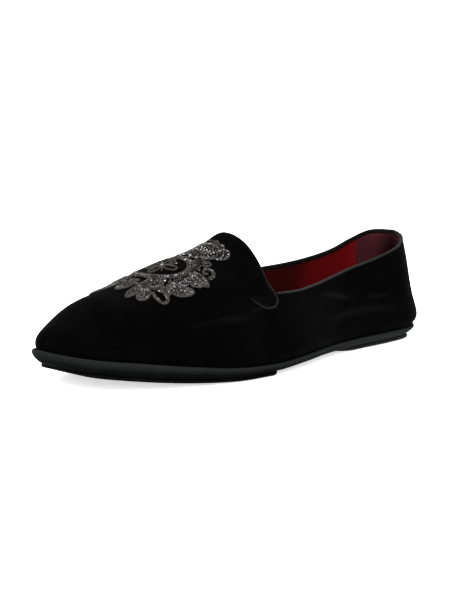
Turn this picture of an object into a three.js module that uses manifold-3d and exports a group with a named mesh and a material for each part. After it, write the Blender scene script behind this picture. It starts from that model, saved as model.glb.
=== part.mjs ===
// Left velvet slipper: a soft, low shoe on a thin rubber sole, with a raised tongue and an embroidered vamp.
// Millimetres. The toe points to -X, the heel to +X, the outer (lateral) side to -Y, and the floor is z = 0.
// Every surface is worked out from stations: an angle from 0 at the toe tip to PI at the back of the heel.

import * as THREE from 'three';
import Module from 'manifold-3d';

// Driving dimensions of the sole
const soleLength = 288;
const ballWidth = 106;
const heelWidth = 69;
const toeSpring = 9.2;
const springShare = 0.36;
const springPower = 1.6;
const soleThickness = 5;
const rimWidth = 2.2;
const rimLip = 2.2;
const rimRound = 0.7;
const rimFlare = 3.4;
const toeFlare = 2.6;
const treadThickness = 2.7;
const treadInset = 0.8;
const archRise = 0.5;
const foreTreadStart = 7;
const foreTreadLength = 133;
const heelTreadLength = 88;
const heelTreadFromBack = 8;

// Driving dimensions of the upper
const wall = 2;
const instepHeight = 69;
const collarHeight = 64;
const throatLength = 128;
const throatBow = 7;
const sideBulge = 3;
const heelBulge = 4.3;
const bulgeHeight = 7;
const heelCentre = 40;
const heelBlend = 14;
const tabLength = 18;
const tabDrop = 6;
const tabRise = 1.3;
const tabRoot = 0.8;
const tabSink = 0.15;
const skinAboveRim = 0.1;

// Driving dimensions of the small pieces
const insoleThickness = 2;
const insoleClearance = 0.7;
const bindingRadius = 1;
const collarBindingWidth = 2.4;
const collarBindingHeight = 1.8;
const embroideryThickness = 1.2;
const embroideryWidth = 70;
const embroideryLength = 72;
const embroideryFromThroat = 8;
const embroideryGap = 0.8;
const throatBindingGap = 0.45;
const clearance = 0.4;

// Counts of facets
const vampSteps = 26;
const quarterSteps = 28;
const bandRows = 7;
const capColumns = 14;
const beadSides = 8;

// Plan outline of the sole's rim. along is a share of soleLength from the toe tip;
// lateral and medial are shares of half of ballWidth in front of the waist and of half of heelWidth behind it.
const outlineRows = [
  { along: 0.000, lateral: -0.19, medial: 0.19 },
  { along: 0.015, lateral: 0.15, medial: 0.44 },
  { along: 0.050, lateral: 0.42, medial: 0.64 },
  { along: 0.100, lateral: 0.64, medial: 0.76 },
  { along: 0.180, lateral: 0.88, medial: 0.86 },
  { along: 0.250, lateral: 1.01, medial: 0.90 },
  { along: 0.320, lateral: 1.09, medial: 0.87 },
  { along: 0.400, lateral: 1.10, medial: 0.78 },
  { along: 0.480, lateral: 1.11, medial: 0.70 },
  { along: 0.560, lateral: 1.14, medial: 0.70 },
  { along: 0.650, lateral: 1.12, medial: 0.80 },
  { along: 0.750, lateral: 1.01, medial: 0.91 },
  { along: 0.850, lateral: 0.95, medial: 0.97 },
  { along: 0.920, lateral: 0.84, medial: 0.87 },
  { along: 0.970, lateral: 0.57, medial: 0.61 },
  { along: 0.990, lateral: 0.34, medial: 0.36 },
  { along: 1.000, lateral: 0.00, medial: 0.00 },
];
const waist = { from: 0.4, to: 0.7 };

// Thickness of the sole without its tread, as shares of soleThickness.
const thicknessRows = [
  { along: 0.00, share: 1.80 },
  { along: 0.06, share: 1.60 },
  { along: 0.12, share: 1.62 },
  { along: 0.20, share: 1.46 },
  { along: 0.30, share: 1.17 },
  { along: 0.40, share: 0.97 },
  { along: 0.55, share: 0.92 },
  { along: 0.70, share: 0.96 },
  { along: 0.85, share: 0.97 },
  { along: 1.00, share: 0.88 },
];

// Ridge of the last. height is a share of instepHeight above the feather line, side is the ridge's
// place towards the inner side as a share of half of ballWidth, and fullness is the section's power.
const ridgeRows = [
  { along: 0.000, height: 0.00, side: 0.19, fullness: 2.3 },
  { along: 0.020, height: 0.20, side: 0.17, fullness: 2.3 },
  { along: 0.050, height: 0.29, side: 0.14, fullness: 2.3 },
  { along: 0.100, height: 0.44, side: 0.10, fullness: 2.3 },
  { along: 0.200, height: 0.61, side: 0.07, fullness: 2.2 },
  { along: 0.300, height: 0.795, side: 0.06, fullness: 2.1 },
  { along: 0.400, height: 0.93, side: 0.06, fullness: 2.0 },
  { along: 0.470, height: 1.078, side: 0.06, fullness: 1.9 },
  { along: 0.600, height: 1.10, side: 0.05, fullness: 1.8 },
  { along: 0.700, height: 1.05, side: 0.03, fullness: 1.8 },
  { along: 0.800, height: 1.01, side: 0.01, fullness: 1.9 },
  { along: 0.860, height: 1.04, side: 0.00, fullness: 2.0 },
  { along: 0.930, height: 1.18, side: 0.00, fullness: 2.25 },
  { along: 1.000, height: 1.40, side: 0.00, fullness: 2.5 },
];

// Height of the collar's edge over the floor, as shares of collarHeight.
const collarRows = [
  { along: 0.44, lateral: 0.692, medial: 0.672 },
  { along: 0.55, lateral: 0.672, medial: 0.730 },
  { along: 0.65, lateral: 0.692, medial: 0.744 },
  { along: 0.75, lateral: 0.754, medial: 0.762 },
  { along: 0.85, lateral: 0.822, medial: 0.815 },
  { along: 0.93, lateral: 0.900, medial: 0.912 },
  { along: 0.97, lateral: 0.953, medial: 0.980 },
  { along: 1.00, lateral: 1.000, medial: 1.000 },
];

// Edge of the tab at each lower corner of the tongue. back is behind the throat as a share of tabLength,
// up is above the collar line as a share of tabDrop, rise is a share of tabRise,
// and rootBack and rootUp are where the tab's lap has faded into the vamp.
const tabRows = [
  { back: -0.10, up: 1.22, rise: 0.1, rootBack: -0.50, rootUp: 1.50 },
  { back: 0.03, up: 0.25, rise: 0.7, rootBack: -0.60, rootUp: 1.30 },
  { back: 0.05, up: -0.17, rise: 1.0, rootBack: -0.66, rootUp: 1.22 },
  { back: 0.03, up: -0.43, rise: 1.0, rootBack: -0.70, rootUp: 1.18 },
  { back: -0.05, up: -0.60, rise: 1.0, rootBack: -0.74, rootUp: 1.16 },
  { back: -0.14, up: -0.65, rise: 1.0, rootBack: -0.78, rootUp: 1.16 },
  { back: -0.34, up: -0.50, rise: 1.0, rootBack: -0.84, rootUp: 1.18 },
  { back: -0.55, up: -0.22, rise: 1.0, rootBack: -0.92, rootUp: 1.22 },
  { back: -0.76, up: 0.27, rise: 1.0, rootBack: -1.02, rootUp: 1.30 },
  { back: -0.93, up: 0.90, rise: 0.7, rootBack: -1.12, rootUp: 1.45 },
];

// Half width of the embroidery at each share of its length from the toe end, as a share of half its width.
const embroideryRows = [
  { along: 0.00, half: 0.16 },
  { along: 0.04, half: 0.42 },
  { along: 0.08, half: 0.74 },
  { along: 0.13, half: 0.94 },
  { along: 0.20, half: 0.98 },
  { along: 0.27, half: 0.88 },
  { along: 0.34, half: 0.96 },
  { along: 0.42, half: 0.90 },
  { along: 0.50, half: 0.94 },
  { along: 0.57, half: 1.00 },
  { along: 0.64, half: 0.92 },
  { along: 0.71, half: 0.70 },
  { along: 0.78, half: 0.62 },
  { along: 0.85, half: 0.48 },
  { along: 0.91, half: 0.52 },
  { along: 0.97, half: 0.36 },
  { along: 1.00, half: 0.12 },
];

const wasm = await Module();
wasm.setup();

// Small maths

const angleOf = (along) => Math.acos(1 - 2 * Math.min(1, Math.max(0, along)));
const alongOf = (angle) => (1 - Math.cos(angle)) / 2;
const mix = (a, b, t) => a + (b - a) * t;

function smooth(from, to, value) {
  const t = Math.min(1, Math.max(0, (value - from) / (to - from)));
  return t * t * (3 - 2 * t);
}

// A smooth curve through one column of a table, with slopes from the neighbouring rows.
function through(places, values) {
  const last = places.length - 1;
  const steps = places.slice(1).map((place, i) => place - places[i]);
  const rises = values.slice(1).map((value, i) => (value - values[i]) / steps[i]);
  const slopes = values.map((_, i) => {
    if (i === 0) return rises[0];
    if (i === last) return rises[last - 1];
    return (steps[i] * rises[i - 1] + steps[i - 1] * rises[i]) / (steps[i - 1] + steps[i]);
  });
  return (place) => {
    let i = 0;
    while (i < last - 1 && place > places[i + 1]) i += 1;
    const t = Math.min(1, Math.max(0, (place - places[i]) / steps[i]));
    const rest = 1 - t;
    return rest * rest * (1 + 2 * t) * values[i] + t * t * (3 - 2 * t) * values[i + 1]
      + t * rest * steps[i] * (rest * slopes[i] - t * slopes[i + 1]);
  };
}

const stationCurve = (rows, column) => through(rows.map((row) => angleOf(row.along)), rows.map((row) => row[column]));
const shareCurve = (rows, place, column) => through(rows.map((row) => row[place]), rows.map((row) => row[column]));

const outlineShare = {
  lateral: stationCurve(outlineRows, 'lateral'),
  medial: stationCurve(outlineRows, 'medial'),
};
const thicknessShare = stationCurve(thicknessRows, 'share');
const ridgeShare = stationCurve(ridgeRows, 'height');
const ridgeSide = stationCurve(ridgeRows, 'side');
const fullness = stationCurve(ridgeRows, 'fullness');
const collarShare = {
  lateral: stationCurve(collarRows, 'lateral'),
  medial: stationCurve(collarRows, 'medial'),
};

// The sole's plan and heights

const sideSign = { lateral: -1, medial: 1 };

function rimPoint(side, angle) {
  const along = alongOf(angle);
  const half = mix(ballWidth, heelWidth, smooth(waist.from, waist.to, along)) / 2;
  return new THREE.Vector2((along - 0.5) * soleLength, sideSign[side] * half * outlineShare[side](angle));
}

function rimNormal(side, angle) {
  const tiny = 1e-3;
  const before = rimPoint(side, Math.max(0, angle - tiny));
  const after = rimPoint(side, Math.min(Math.PI, angle + tiny));
  const step = after.sub(before);
  if (angle < tiny) return new THREE.Vector2(-1, 0);
  if (angle > Math.PI - tiny) return new THREE.Vector2(1, 0);
  return new THREE.Vector2(step.y, -step.x).multiplyScalar(-sideSign[side]).normalize();
}

const insetPoint = (side, angle, inset) => rimPoint(side, angle).addScaledVector(rimNormal(side, angle), -inset);

const springLift = (angle) => toeSpring * Math.max(0, 1 - alongOf(angle) / springShare) ** springPower;

function soleBottom(angle) {
  const along = alongOf(angle);
  const arch = archRise * smooth(0.42, 0.54, along) * (1 - smooth(0.58, 0.7, along));
  return treadThickness + springLift(angle) + arch;
}

const rimTop = (angle) => soleBottom(angle) + soleThickness * thicknessShare(angle);
const platform = (angle) => rimTop(angle) - rimLip;
const featherHeight = (angle) => platform(angle) + clearance;

// The upper's skin. inset is measured inwards from the outer face.

const throatAngle = angleOf(throatLength / soleLength);
const noseAngle = angleOf(0.1);

// Sections close in on the middle line, and round the heel on one point, heelCentre in front of its back.
function centreX(x) {
  const past = x - (soleLength / 2 - heelCentre);
  if (past <= -heelBlend) return x;
  return past >= heelBlend ? x - past : x - (past + heelBlend) ** 2 / (4 * heelBlend);
}

function skinFrame(side, angle, inset) {
  const depth = rimWidth + clearance + inset;
  const base = insetPoint(side, angle, depth);
  const other = insetPoint(side === 'lateral' ? 'medial' : 'lateral', angle, depth);
  const rise = Math.sin(Math.min(1, angle / noseAngle) * Math.PI / 2);
  const centre = new THREE.Vector2(centreX((base.x + other.x) / 2), ridgeSide(angle) * ballWidth / 2);
  const height = Math.max(0, ridgeShare(angle) * instepHeight - inset * rise);
  return { base, centre, height, normal: rimNormal(side, angle), power: fullness(angle) };
}

const edgeHeight = (side, angle) => collarShare[side](angle) * collarHeight;

// Height of the line that parts the side band from the cap over the foot: the collar, carried on to the toe.
function bandTop(side, angle) {
  if (angle >= throatAngle) return edgeHeight(side, angle);
  const throatRidge = ridgeShare(throatAngle) * instepHeight;
  const share = (edgeHeight(side, throatAngle) - featherHeight(throatAngle)) / throatRidge;
  return featherHeight(angle) + share * ridgeShare(angle) * instepHeight;
}

function place(frame, angle, across, z) {
  const along = alongOf(angle);
  const over = Math.max(0, z - rimTop(angle)) / bulgeHeight;
  const swell = mix(sideBulge, heelBulge, smooth(0.75, 0.95, along)) * smooth(0.06, 0.3, along);
  const point = frame.centre.clone().lerp(frame.base, across);
  point.addScaledVector(frame.normal, swell * across * (over * Math.exp(1 - over)) ** 2);
  return new THREE.Vector3(point.x, point.y, z);
}

function skinPoint(side, angle, z, inset) {
  const frame = skinFrame(side, angle, inset);
  if (frame.height < 1e-6) return new THREE.Vector3(frame.base.x, frame.base.y, featherHeight(angle));
  const share = Math.min(1, Math.max(0, (z - featherHeight(angle)) / frame.height));
  const across = (1 - share ** frame.power) ** (1 / frame.power);
  return place(frame, angle, across, z);
}

// A point on the cap: turn is 0 at the band's top and 1 at the ridge.
function capPoint(side, angle, turn, inset) {
  const frame = skinFrame(side, angle, inset);
  if (turn === 0 || frame.height < 1e-6) return skinPoint(side, angle, bandTop(side, angle), inset);
  const low = featherHeight(angle);
  const start = Math.asin(Math.min(1, (bandTop(side, angle) - low) / frame.height) ** (frame.power / 2));
  const phase = mix(start, Math.PI / 2, turn);
  const across = Math.max(0, Math.cos(phase)) ** (2 / frame.power);
  const point = place(frame, angle, across, low + frame.height * Math.sin(phase) ** (2 / frame.power));
  point.x += throatBow * Math.sin(turn * Math.PI / 2) ** 2 * smooth(throatAngle - 0.5, throatAngle, angle);
  return point;
}

// Mesh helpers: a grid of points becomes triangles, and triangles become one closed geometry.

function gridTriangles(rows, flip = false) {
  const triangles = [];
  for (let r = 0; r + 1 < rows.length; r += 1) {
    for (let c = 0; c + 1 < rows[r].length; c += 1) {
      const corners = [rows[r][c], rows[r][c + 1], rows[r + 1][c + 1], rows[r + 1][c]];
      if (flip) corners.reverse();
      const [a, b, d, e] = corners;
      if (a.distanceToSquared(d) < b.distanceToSquared(e)) triangles.push([a, b, d], [a, d, e]);
      else triangles.push([a, b, e], [b, d, e]);
    }
  }
  return triangles;
}

function signedVolume(triangles) {
  return triangles.reduce((sum, [a, b, c]) => sum + a.dot(b.clone().cross(c)) / 6, 0);
}

function closedGeometry(triangles) {
  const grain = 2e4;
  const seen = new Map();
  const positions = [];
  const index = [];
  const indexOf = (point) => {
    const key = [point.x, point.y, point.z].map((value) => Math.round(value * grain)).join();
    if (!seen.has(key)) {
      seen.set(key, positions.length / 3);
      positions.push(point.x, point.y, point.z);
    }
    return seen.get(key);
  };
  const outward = signedVolume(triangles) > 0;
  for (const triangle of triangles) {
    const [a, b, c] = triangle.map(indexOf);
    if (a === b || b === c || c === a) continue;
    if (outward) index.push(a, b, c);
    else index.push(a, c, b);
  }
  const geometry = new THREE.BufferGeometry();
  geometry.setAttribute('position', new THREE.Float32BufferAttribute(positions, 3));
  geometry.setIndex(index);
  return geometry;
}

function toManifold(geometry) {
  return new wasm.Manifold(new wasm.Mesh({
    numProp: 3,
    vertProperties: new Float32Array(geometry.attributes.position.array),
    triVerts: new Uint32Array(geometry.index.array),
  }));
}

function fromManifold(solid) {
  const mesh = solid.getMesh();
  const geometry = new THREE.BufferGeometry();
  geometry.setAttribute('position', new THREE.Float32BufferAttribute(mesh.vertProperties, 3));
  geometry.setIndex(Array.from(mesh.triVerts));
  return geometry;
}

// Stations from the toe tip to the heel, with one exactly at the throat.
const stations = [
  ...Array.from({ length: vampSteps }, (_, i) => throatAngle * i / vampSteps),
  ...Array.from({ length: quarterSteps + 1 }, (_, i) => mix(throatAngle, Math.PI, i / quarterSteps)),
];

// One closed loop round the shoe: out along the lateral side to the heel, and back along the medial side.
const loop = [
  ...stations.map((angle) => ({ side: 'lateral', angle })),
  ...stations.slice(0, -1).reverse().map((angle) => ({ side: 'medial', angle })),
];

// A solid skinned over closed loops of points that share their stations, capped across the first and last loop.
function loopSolid(loops) {
  const cap = (points) => {
    const lateral = points.slice(0, (points.length + 1) / 2);
    const medial = points.slice((points.length - 1) / 2).reverse();
    return [lateral, medial];
  };
  return closedGeometry([
    ...gridTriangles(loops),
    ...gridTriangles(cap(loops[0]), true),
    ...gridTriangles(cap(loops[loops.length - 1])),
  ]);
}

// A bead swept along a path. Each path entry has a point and the direction that the section's width follows.
function bead(path, width, height) {
  const rings = path.map(({ point, out }, i) => {
    const ahead = path[Math.min(i + 1, path.length - 1)].point;
    const behind = path[Math.max(i - 1, 0)].point;
    const along = ahead.clone().sub(behind).normalize();
    const up = along.clone().cross(out).normalize();
    const wide = up.clone().cross(along).normalize();
    return Array.from({ length: beadSides + 1 }, (_, k) => {
      const turn = 2 * Math.PI * (k % beadSides) / beadSides;
      return point.clone()
        .addScaledVector(wide, Math.cos(turn) * width / 2)
        .addScaledVector(up, Math.sin(turn) * height / 2);
    });
  });
  const fan = (ring, centre, flip) => ring.slice(1).map((point, k) => (
    flip ? [centre, point, ring[k]] : [centre, ring[k], point]));
  return closedGeometry([
    ...gridTriangles(rings, true),
    ...fan(rings[0], path[0].point, false),
    ...fan(rings[rings.length - 1], path[path.length - 1].point, true),
  ]);
}

// The sole

function outsoleGeometry() {
  const bottomInset = (angle) => {
    const ends = Math.abs(Math.cos(angle)) ** 6;
    return rimFlare + toeFlare * ends;
  };
  const level = (inset, height) => loop.map(({ side, angle }) => {
    const depth = inset(angle);
    const plan = insetPoint(side, angle, depth);
    return new THREE.Vector3(plan.x, plan.y, height(angle));
  });
  const between = (angle, share) => mix(soleBottom(angle), rimTop(angle), share);
  return loopSolid([
    level(bottomInset, soleBottom),
    level((angle) => bottomInset(angle) * 0.55, (angle) => between(angle, 0.22)),
    level((angle) => bottomInset(angle) * 0.2, (angle) => between(angle, 0.58)),
    level(() => 0, (angle) => rimTop(angle) - rimRound),
    level(() => rimRound, rimTop),
    level(() => rimWidth, rimTop),
    level(() => rimWidth, platform),
  ]);
}

// A tread pad: the sole's own outline drawn in, over a stretch of the sole, with round ends.
function treadGeometry(from, to) {
  const depth = rimFlare + treadInset;
  const steps = 30;
  const ends = [angleOf(from / soleLength), angleOf(to / soleLength)];
  const reach = 0.16;
  const angles = Array.from({ length: steps + 1 }, (_, i) => (
    mix(ends[0], ends[1], (1 - Math.cos(Math.PI * i / steps)) / 2)));
  const narrow = (angle) => {
    const nearest = Math.min(angle - ends[0], ends[1] - angle) / reach;
    return nearest >= 1 ? 1 : Math.sqrt(Math.max(0, 1 - (1 - nearest) ** 2));
  };
  const edge = (side, height) => angles.map((angle) => {
    const lateral = insetPoint('lateral', angle, depth);
    const medial = insetPoint('medial', angle, depth);
    const middle = lateral.clone().add(medial).multiplyScalar(0.5);
    const plan = middle.lerp(side === 'lateral' ? lateral : medial, narrow(angle));
    return new THREE.Vector3(plan.x, plan.y, height(angle));
  });
  const level = (height) => [...edge('lateral', height), ...edge('medial', height).slice(0, -1).reverse()];
  const top = (angle) => treadThickness + springLift(angle) - clearance;
  return loopSolid([level(springLift), level(top)]);
}

function insoleGeometry() {
  const inset = rimWidth + clearance + wall + insoleClearance;
  const level = (lift) => loop.map(({ side, angle }) => {
    const plan = insetPoint(side, angle, inset);
    return new THREE.Vector3(plan.x, plan.y, platform(angle) + clearance + lift);
  });
  return loopSolid([level(0), level(insoleThickness)]);
}

// The upper

// Heights of the band's rows: the feather edge, the rim's top, and on up to the band's top.
function bandLevel(side, angle, row) {
  const low = featherHeight(angle);
  const top = bandTop(side, angle);
  const rim = Math.min(rimTop(angle) + skinAboveRim, mix(low, top, 0.4));
  return row === 0 ? low : mix(rim, top, ((row - 1) / (bandRows - 1)) ** 1.3);
}

function shellTriangles() {
  const bandOf = (inset) => Array.from({ length: bandRows + 1 }, (_, r) => (
    loop.map(({ side, angle }) => skinPoint(side, angle, bandLevel(side, angle, r), inset))));
  const capOf = (inset) => stations.slice(0, vampSteps + 1).map((angle) => (
    Array.from({ length: capColumns + 1 }, (_, k) => {
      const turn = 1 - Math.abs(1 - 2 * k / capColumns);
      return capPoint(2 * k <= capColumns ? 'lateral' : 'medial', angle, turn, inset);
    })));
  const outerBand = bandOf(0);
  const innerBand = bandOf(wall);
  const outerCap = capOf(0);
  const innerCap = capOf(wall);
  const open = [vampSteps, loop.length - vampSteps];
  return [
    ...gridTriangles(outerBand),
    ...gridTriangles(innerBand, true),
    ...gridTriangles([innerBand[0], outerBand[0]]),
    ...gridTriangles([outerBand[bandRows].slice(...open), innerBand[bandRows].slice(...open)]),
    ...gridTriangles(outerCap, true),
    ...gridTriangles(innerCap),
    ...gridTriangles([outerCap[vampSteps], innerCap[vampSteps]], true),
  ];
}

const tabCurve = Object.fromEntries(['back', 'up', 'rise', 'rootBack', 'rootUp'].map((column) => (
  [column, through(tabRows.map((_, i) => i / (tabRows.length - 1)), tabRows.map((row) => row[column]))])));

// A point on the skin near the tab, from lengths behind the throat and above the collar line.
function tabPoint(side, back, up, inset) {
  const angle = angleOf((throatLength + back) / soleLength);
  return skinPoint(side, angle, bandTop(side, angle) + up, inset);
}

function tabGeometry(side) {
  const steps = 24;
  const lanes = 5;
  const shares = Array.from({ length: steps + 1 }, (_, i) => i / steps);
  const sheet = (depthOf) => shares.map((share) => Array.from({ length: lanes + 1 }, (_, k) => {
    const lane = k / lanes;
    const back = mix(tabCurve.back(share), tabCurve.rootBack(share), lane) * tabLength;
    const up = mix(tabCurve.up(share), tabCurve.rootUp(share), lane) * tabDrop;
    return tabPoint(side, back, up, depthOf(share, lane));
  }));
  const top = sheet((share, lane) => mix(-tabRise * tabCurve.rise(share), tabSink, smooth(0, 1, lane)));
  const root = sheet(() => tabRoot);
  const firstLane = (rows) => rows.map((row) => row[0]);
  const lastLane = (rows) => rows.map((row) => row[lanes]);
  return closedGeometry([
    ...gridTriangles(top),
    ...gridTriangles(root, true),
    ...gridTriangles([firstLane(top), firstLane(root)]),
    ...gridTriangles([lastLane(top), lastLane(root)], true),
    ...gridTriangles([top[0], root[0]], true),
    ...gridTriangles([top[steps], root[steps]]),
  ]);
}

function upperGeometry() {
  let solid = toManifold(closedGeometry(shellTriangles()));
  for (const side of ['lateral', 'medial']) solid = solid.add(toManifold(tabGeometry(side)));
  return fromManifold(solid);
}

// The bindings

function collarBindingGeometry() {
  const tabBack = throatLength + tabRows[2].back * tabLength;
  const start = angleOf((tabBack + 2 * bindingRadius + 2 * throatBindingGap) / soleLength);
  const steps = 44;
  const half = (side) => Array.from({ length: steps + 1 }, (_, i) => {
    const angle = mix(start, Math.PI, i / steps);
    const edge = bandTop(side, angle);
    const point = skinPoint(side, angle, edge, wall / 2);
    const out = skinPoint(side, angle, edge, 0).sub(point).normalize();
    point.z += clearance + collarBindingHeight / 2;
    return { point, out };
  });
  const path = [...half('lateral'), ...half('medial').slice(0, -1).reverse()];
  return bead(path, collarBindingWidth, collarBindingHeight);
}

function throatBindingGeometry() {
  const off = bindingRadius + throatBindingGap;
  const tabSteps = 16;
  const archSteps = 12;
  const archFrom = 0.13;
  const tabTo = 0.1;
  // Round the tab the bead lies on the skin beside the lap.
  const tabBead = (side, share) => {
    const nudge = 0.02;
    const here = new THREE.Vector2(tabCurve.back(share) * tabLength, tabCurve.up(share) * tabDrop);
    const next = new THREE.Vector2(tabCurve.back(share + nudge) * tabLength, tabCurve.up(share + nudge) * tabDrop);
    const ahead = (share < 1 ? next.sub(here) : new THREE.Vector2(-1, 1.4)).normalize();
    const spot = here.add(new THREE.Vector2(-ahead.y, ahead.x).multiplyScalar(off));
    const point = tabPoint(side, spot.x, spot.y, -off);
    return { point, out: point.clone().sub(tabPoint(side, spot.x, spot.y, 0)).normalize() };
  };
  // Over the tongue it follows the middle of the wall's edge.
  const archBead = (side, turn) => {
    const point = capPoint(side, throatAngle, turn, wall / 2);
    const out = capPoint(side, throatAngle, turn, 0).sub(point).normalize();
    point.x += off;
    return { point, out };
  };
  const half = (side) => [
    ...Array.from({ length: tabSteps + 1 }, (_, i) => tabBead(side, mix(1, tabTo, i / tabSteps))),
    ...Array.from({ length: archSteps + 1 }, (_, i) => archBead(side, mix(archFrom, 1, i / archSteps))),
  ];
  const path = [...half('lateral'), ...half('medial').slice(0, -1).reverse()];
  return bead(path, 2 * bindingRadius, 2 * bindingRadius);
}

// The embroidery: a raised patch between two forms of the vamp's own skin.

function embroideryGeometry() {
  const halfShare = shareCurve(embroideryRows, 'along', 'half');
  const rows = 26;
  const columns = 10;
  const sheet = (offset) => Array.from({ length: rows + 1 }, (_, i) => {
    const share = i / rows;
    const back = throatLength - embroideryFromThroat - embroideryLength * (1 - share);
    const angle = angleOf(back / soleLength);
    const reach = halfShare(share) * embroideryWidth / 2;
    return Array.from({ length: columns + 1 }, (_, k) => {
      const across = (2 * k / columns - 1) * reach;
      return overRidge(angle, across, -offset);
    });
  });
  const low = sheet(embroideryGap);
  const high = sheet(embroideryGap + embroideryThickness);
  const side = (k) => [high.map((row) => row[k]), low.map((row) => row[k])];
  return closedGeometry([
    ...gridTriangles(high),
    ...gridTriangles(low, true),
    ...gridTriangles(side(0)),
    ...gridTriangles(side(columns), true),
    ...gridTriangles([high[0], low[0]], true),
    ...gridTriangles([high[rows], low[rows]]),
  ]);
}

// A point on the cap at a length across the ridge, measured along the skin: lateral is negative.
function overRidge(angle, across, inset) {
  const side = across < 0 ? 'lateral' : 'medial';
  const steps = 24;
  let left = Math.abs(across);
  let last = capPoint(side, angle, 1, inset);
  for (let i = 1; i <= steps; i += 1) {
    const next = capPoint(side, angle, 1 - i / steps, inset);
    const step = next.distanceTo(last);
    if (step >= left) return last.lerp(next, left / step);
    left -= step;
    last = next;
  }
  return last;
}

// Materials and the assembly

const finish = (color, roughness) => new THREE.MeshStandardMaterial({ color, roughness, metalness: 0 });
const velvet = finish(0x0b0a0b, 0.95);
const piping = finish(0x2b2a2a, 0.6);
const rubber = finish(0x262727, 0.7);
const blackRubber = finish(0x0e0e0e, 0.75);
const redLeather = finish(0x8a0a10, 0.5);
const metalThread = new THREE.MeshStandardMaterial({ color: 0x8d867e, roughness: 0.4, metalness: 0.6 });

function piece(name, geometry, material) {
  const mesh = new THREE.Mesh(geometry, material);
  mesh.name = name;
  return mesh;
}

const heelTreadEnd = soleLength - heelTreadFromBack;
const shoe = new THREE.Group();
shoe.add(
  piece('upper', upperGeometry(), velvet),
  piece('outsole', outsoleGeometry(), rubber),
  piece('forefoot_tread', treadGeometry(foreTreadStart, foreTreadStart + foreTreadLength), blackRubber),
  piece('heel_tread', treadGeometry(heelTreadEnd - heelTreadLength, heelTreadEnd), blackRubber),
  piece('insole', insoleGeometry(), redLeather),
  piece('collar_binding', collarBindingGeometry(), piping),
  piece('throat_binding', throatBindingGeometry(), piping),
  piece('embroidery', embroideryGeometry(), metalThread),
);

// The origin is on the floor under the middle of the shoe's box.
const box = new THREE.Box3().setFromObject(shoe);
const middle = box.getCenter(new THREE.Vector3());
shoe.position.set(-middle.x, -middle.y, -box.min.z);

export default shoe;
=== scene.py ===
import math

import bpy
import numpy as np
from mathutils import Matrix, Vector

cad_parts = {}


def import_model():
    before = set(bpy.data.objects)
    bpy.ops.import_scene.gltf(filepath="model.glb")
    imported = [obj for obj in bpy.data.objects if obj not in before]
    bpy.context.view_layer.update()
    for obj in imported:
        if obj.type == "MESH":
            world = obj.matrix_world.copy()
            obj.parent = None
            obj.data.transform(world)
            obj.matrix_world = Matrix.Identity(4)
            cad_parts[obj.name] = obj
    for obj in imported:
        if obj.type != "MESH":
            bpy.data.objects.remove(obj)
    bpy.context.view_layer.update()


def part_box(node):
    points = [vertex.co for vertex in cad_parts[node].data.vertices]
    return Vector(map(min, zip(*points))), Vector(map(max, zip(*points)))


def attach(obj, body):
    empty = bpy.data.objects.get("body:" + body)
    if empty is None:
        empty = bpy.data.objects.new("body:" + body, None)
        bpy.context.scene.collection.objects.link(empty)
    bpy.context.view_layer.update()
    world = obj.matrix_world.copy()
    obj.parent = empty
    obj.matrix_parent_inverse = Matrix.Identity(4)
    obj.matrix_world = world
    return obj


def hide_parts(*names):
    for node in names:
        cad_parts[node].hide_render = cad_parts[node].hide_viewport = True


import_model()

MM = 0.001

# The shoe's own sizes, in millimetres, and its tables, as the solids have them.
LENGTH = 288.0
BALL_WIDTH = 106.0
HEEL_WIDTH = 69.0
TOE_SPRING = 9.2
SPRING_SHARE = 0.36
SPRING_POWER = 1.6
SOLE_THICKNESS = 5.0
RIM_WIDTH = 2.2
RIM_LIP = 2.2
RIM_ROUND = 0.7
RIM_FLARE = 3.4
END_FLARE = 2.6
TREAD = 2.7
TREAD_INSET = 0.8
ARCH_RISE = 0.5
FORE_TREAD = (7.0, 140.0)
HEEL_TREAD = (192.0, 280.0)
WALL = 2.0
INSTEP = 69.0
COLLAR = 64.0
THROAT = 128.0
THROAT_BOW = 7.0
SIDE_BULGE = 3.0
HEEL_BULGE = 4.3
BULGE_HEIGHT = 7.0
HEEL_CENTRE = 40.0
HEEL_BLEND = 14.0
TAB_LENGTH = 18.0
TAB_DROP = 6.0
TAB_RISE = 1.3
CLEAR = 0.4
BEAD_RADIUS = 1.0
COLLAR_BEAD = (2.4, 1.8)
INSOLE = 2.0
INSOLE_GAP = 0.7
THROAT_GAP = 0.45
PATCH_LENGTH = 72.0
PATCH_FROM_THROAT = 8.0
WAIST = (0.4, 0.7)

# Sizes of the dressed shoe alone
TOE_SWELL = 0.45
EDGE_LIFT = 0.9
COLLAR_PIPING = (2.3, 1.4)
THROAT_PIPING = 1.5
FOLD_WIDTH = 0.9
GRIP_FROM = 0.945
GRIP_BELOW_EDGE = 0.5
SOCK_ROLL = 0.72
SOCK_SAG = 0.25
FLOOR_GLOW = 0.6
STUDIO_LIGHT = 1.5

# along, lateral share, medial share of half the width
OUTLINE = (
    (0.000, -0.19, 0.19), (0.015, 0.15, 0.44), (0.050, 0.42, 0.64), (0.100, 0.64, 0.76),
    (0.180, 0.88, 0.86), (0.250, 1.01, 0.90), (0.320, 1.09, 0.87), (0.400, 1.10, 0.78),
    (0.480, 1.11, 0.70), (0.560, 1.14, 0.70), (0.650, 1.12, 0.80), (0.750, 1.01, 0.91),
    (0.850, 0.95, 0.97), (0.920, 0.84, 0.87), (0.970, 0.57, 0.61), (0.990, 0.34, 0.36),
    (1.000, 0.00, 0.00),
)
# along, share of the sole's thickness
THICKNESS = (
    (0.00, 1.80), (0.06, 1.60), (0.12, 1.62), (0.20, 1.46), (0.30, 1.17),
    (0.40, 0.97), (0.55, 0.92), (0.70, 0.96), (0.85, 0.97), (1.00, 0.88),
)
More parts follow.
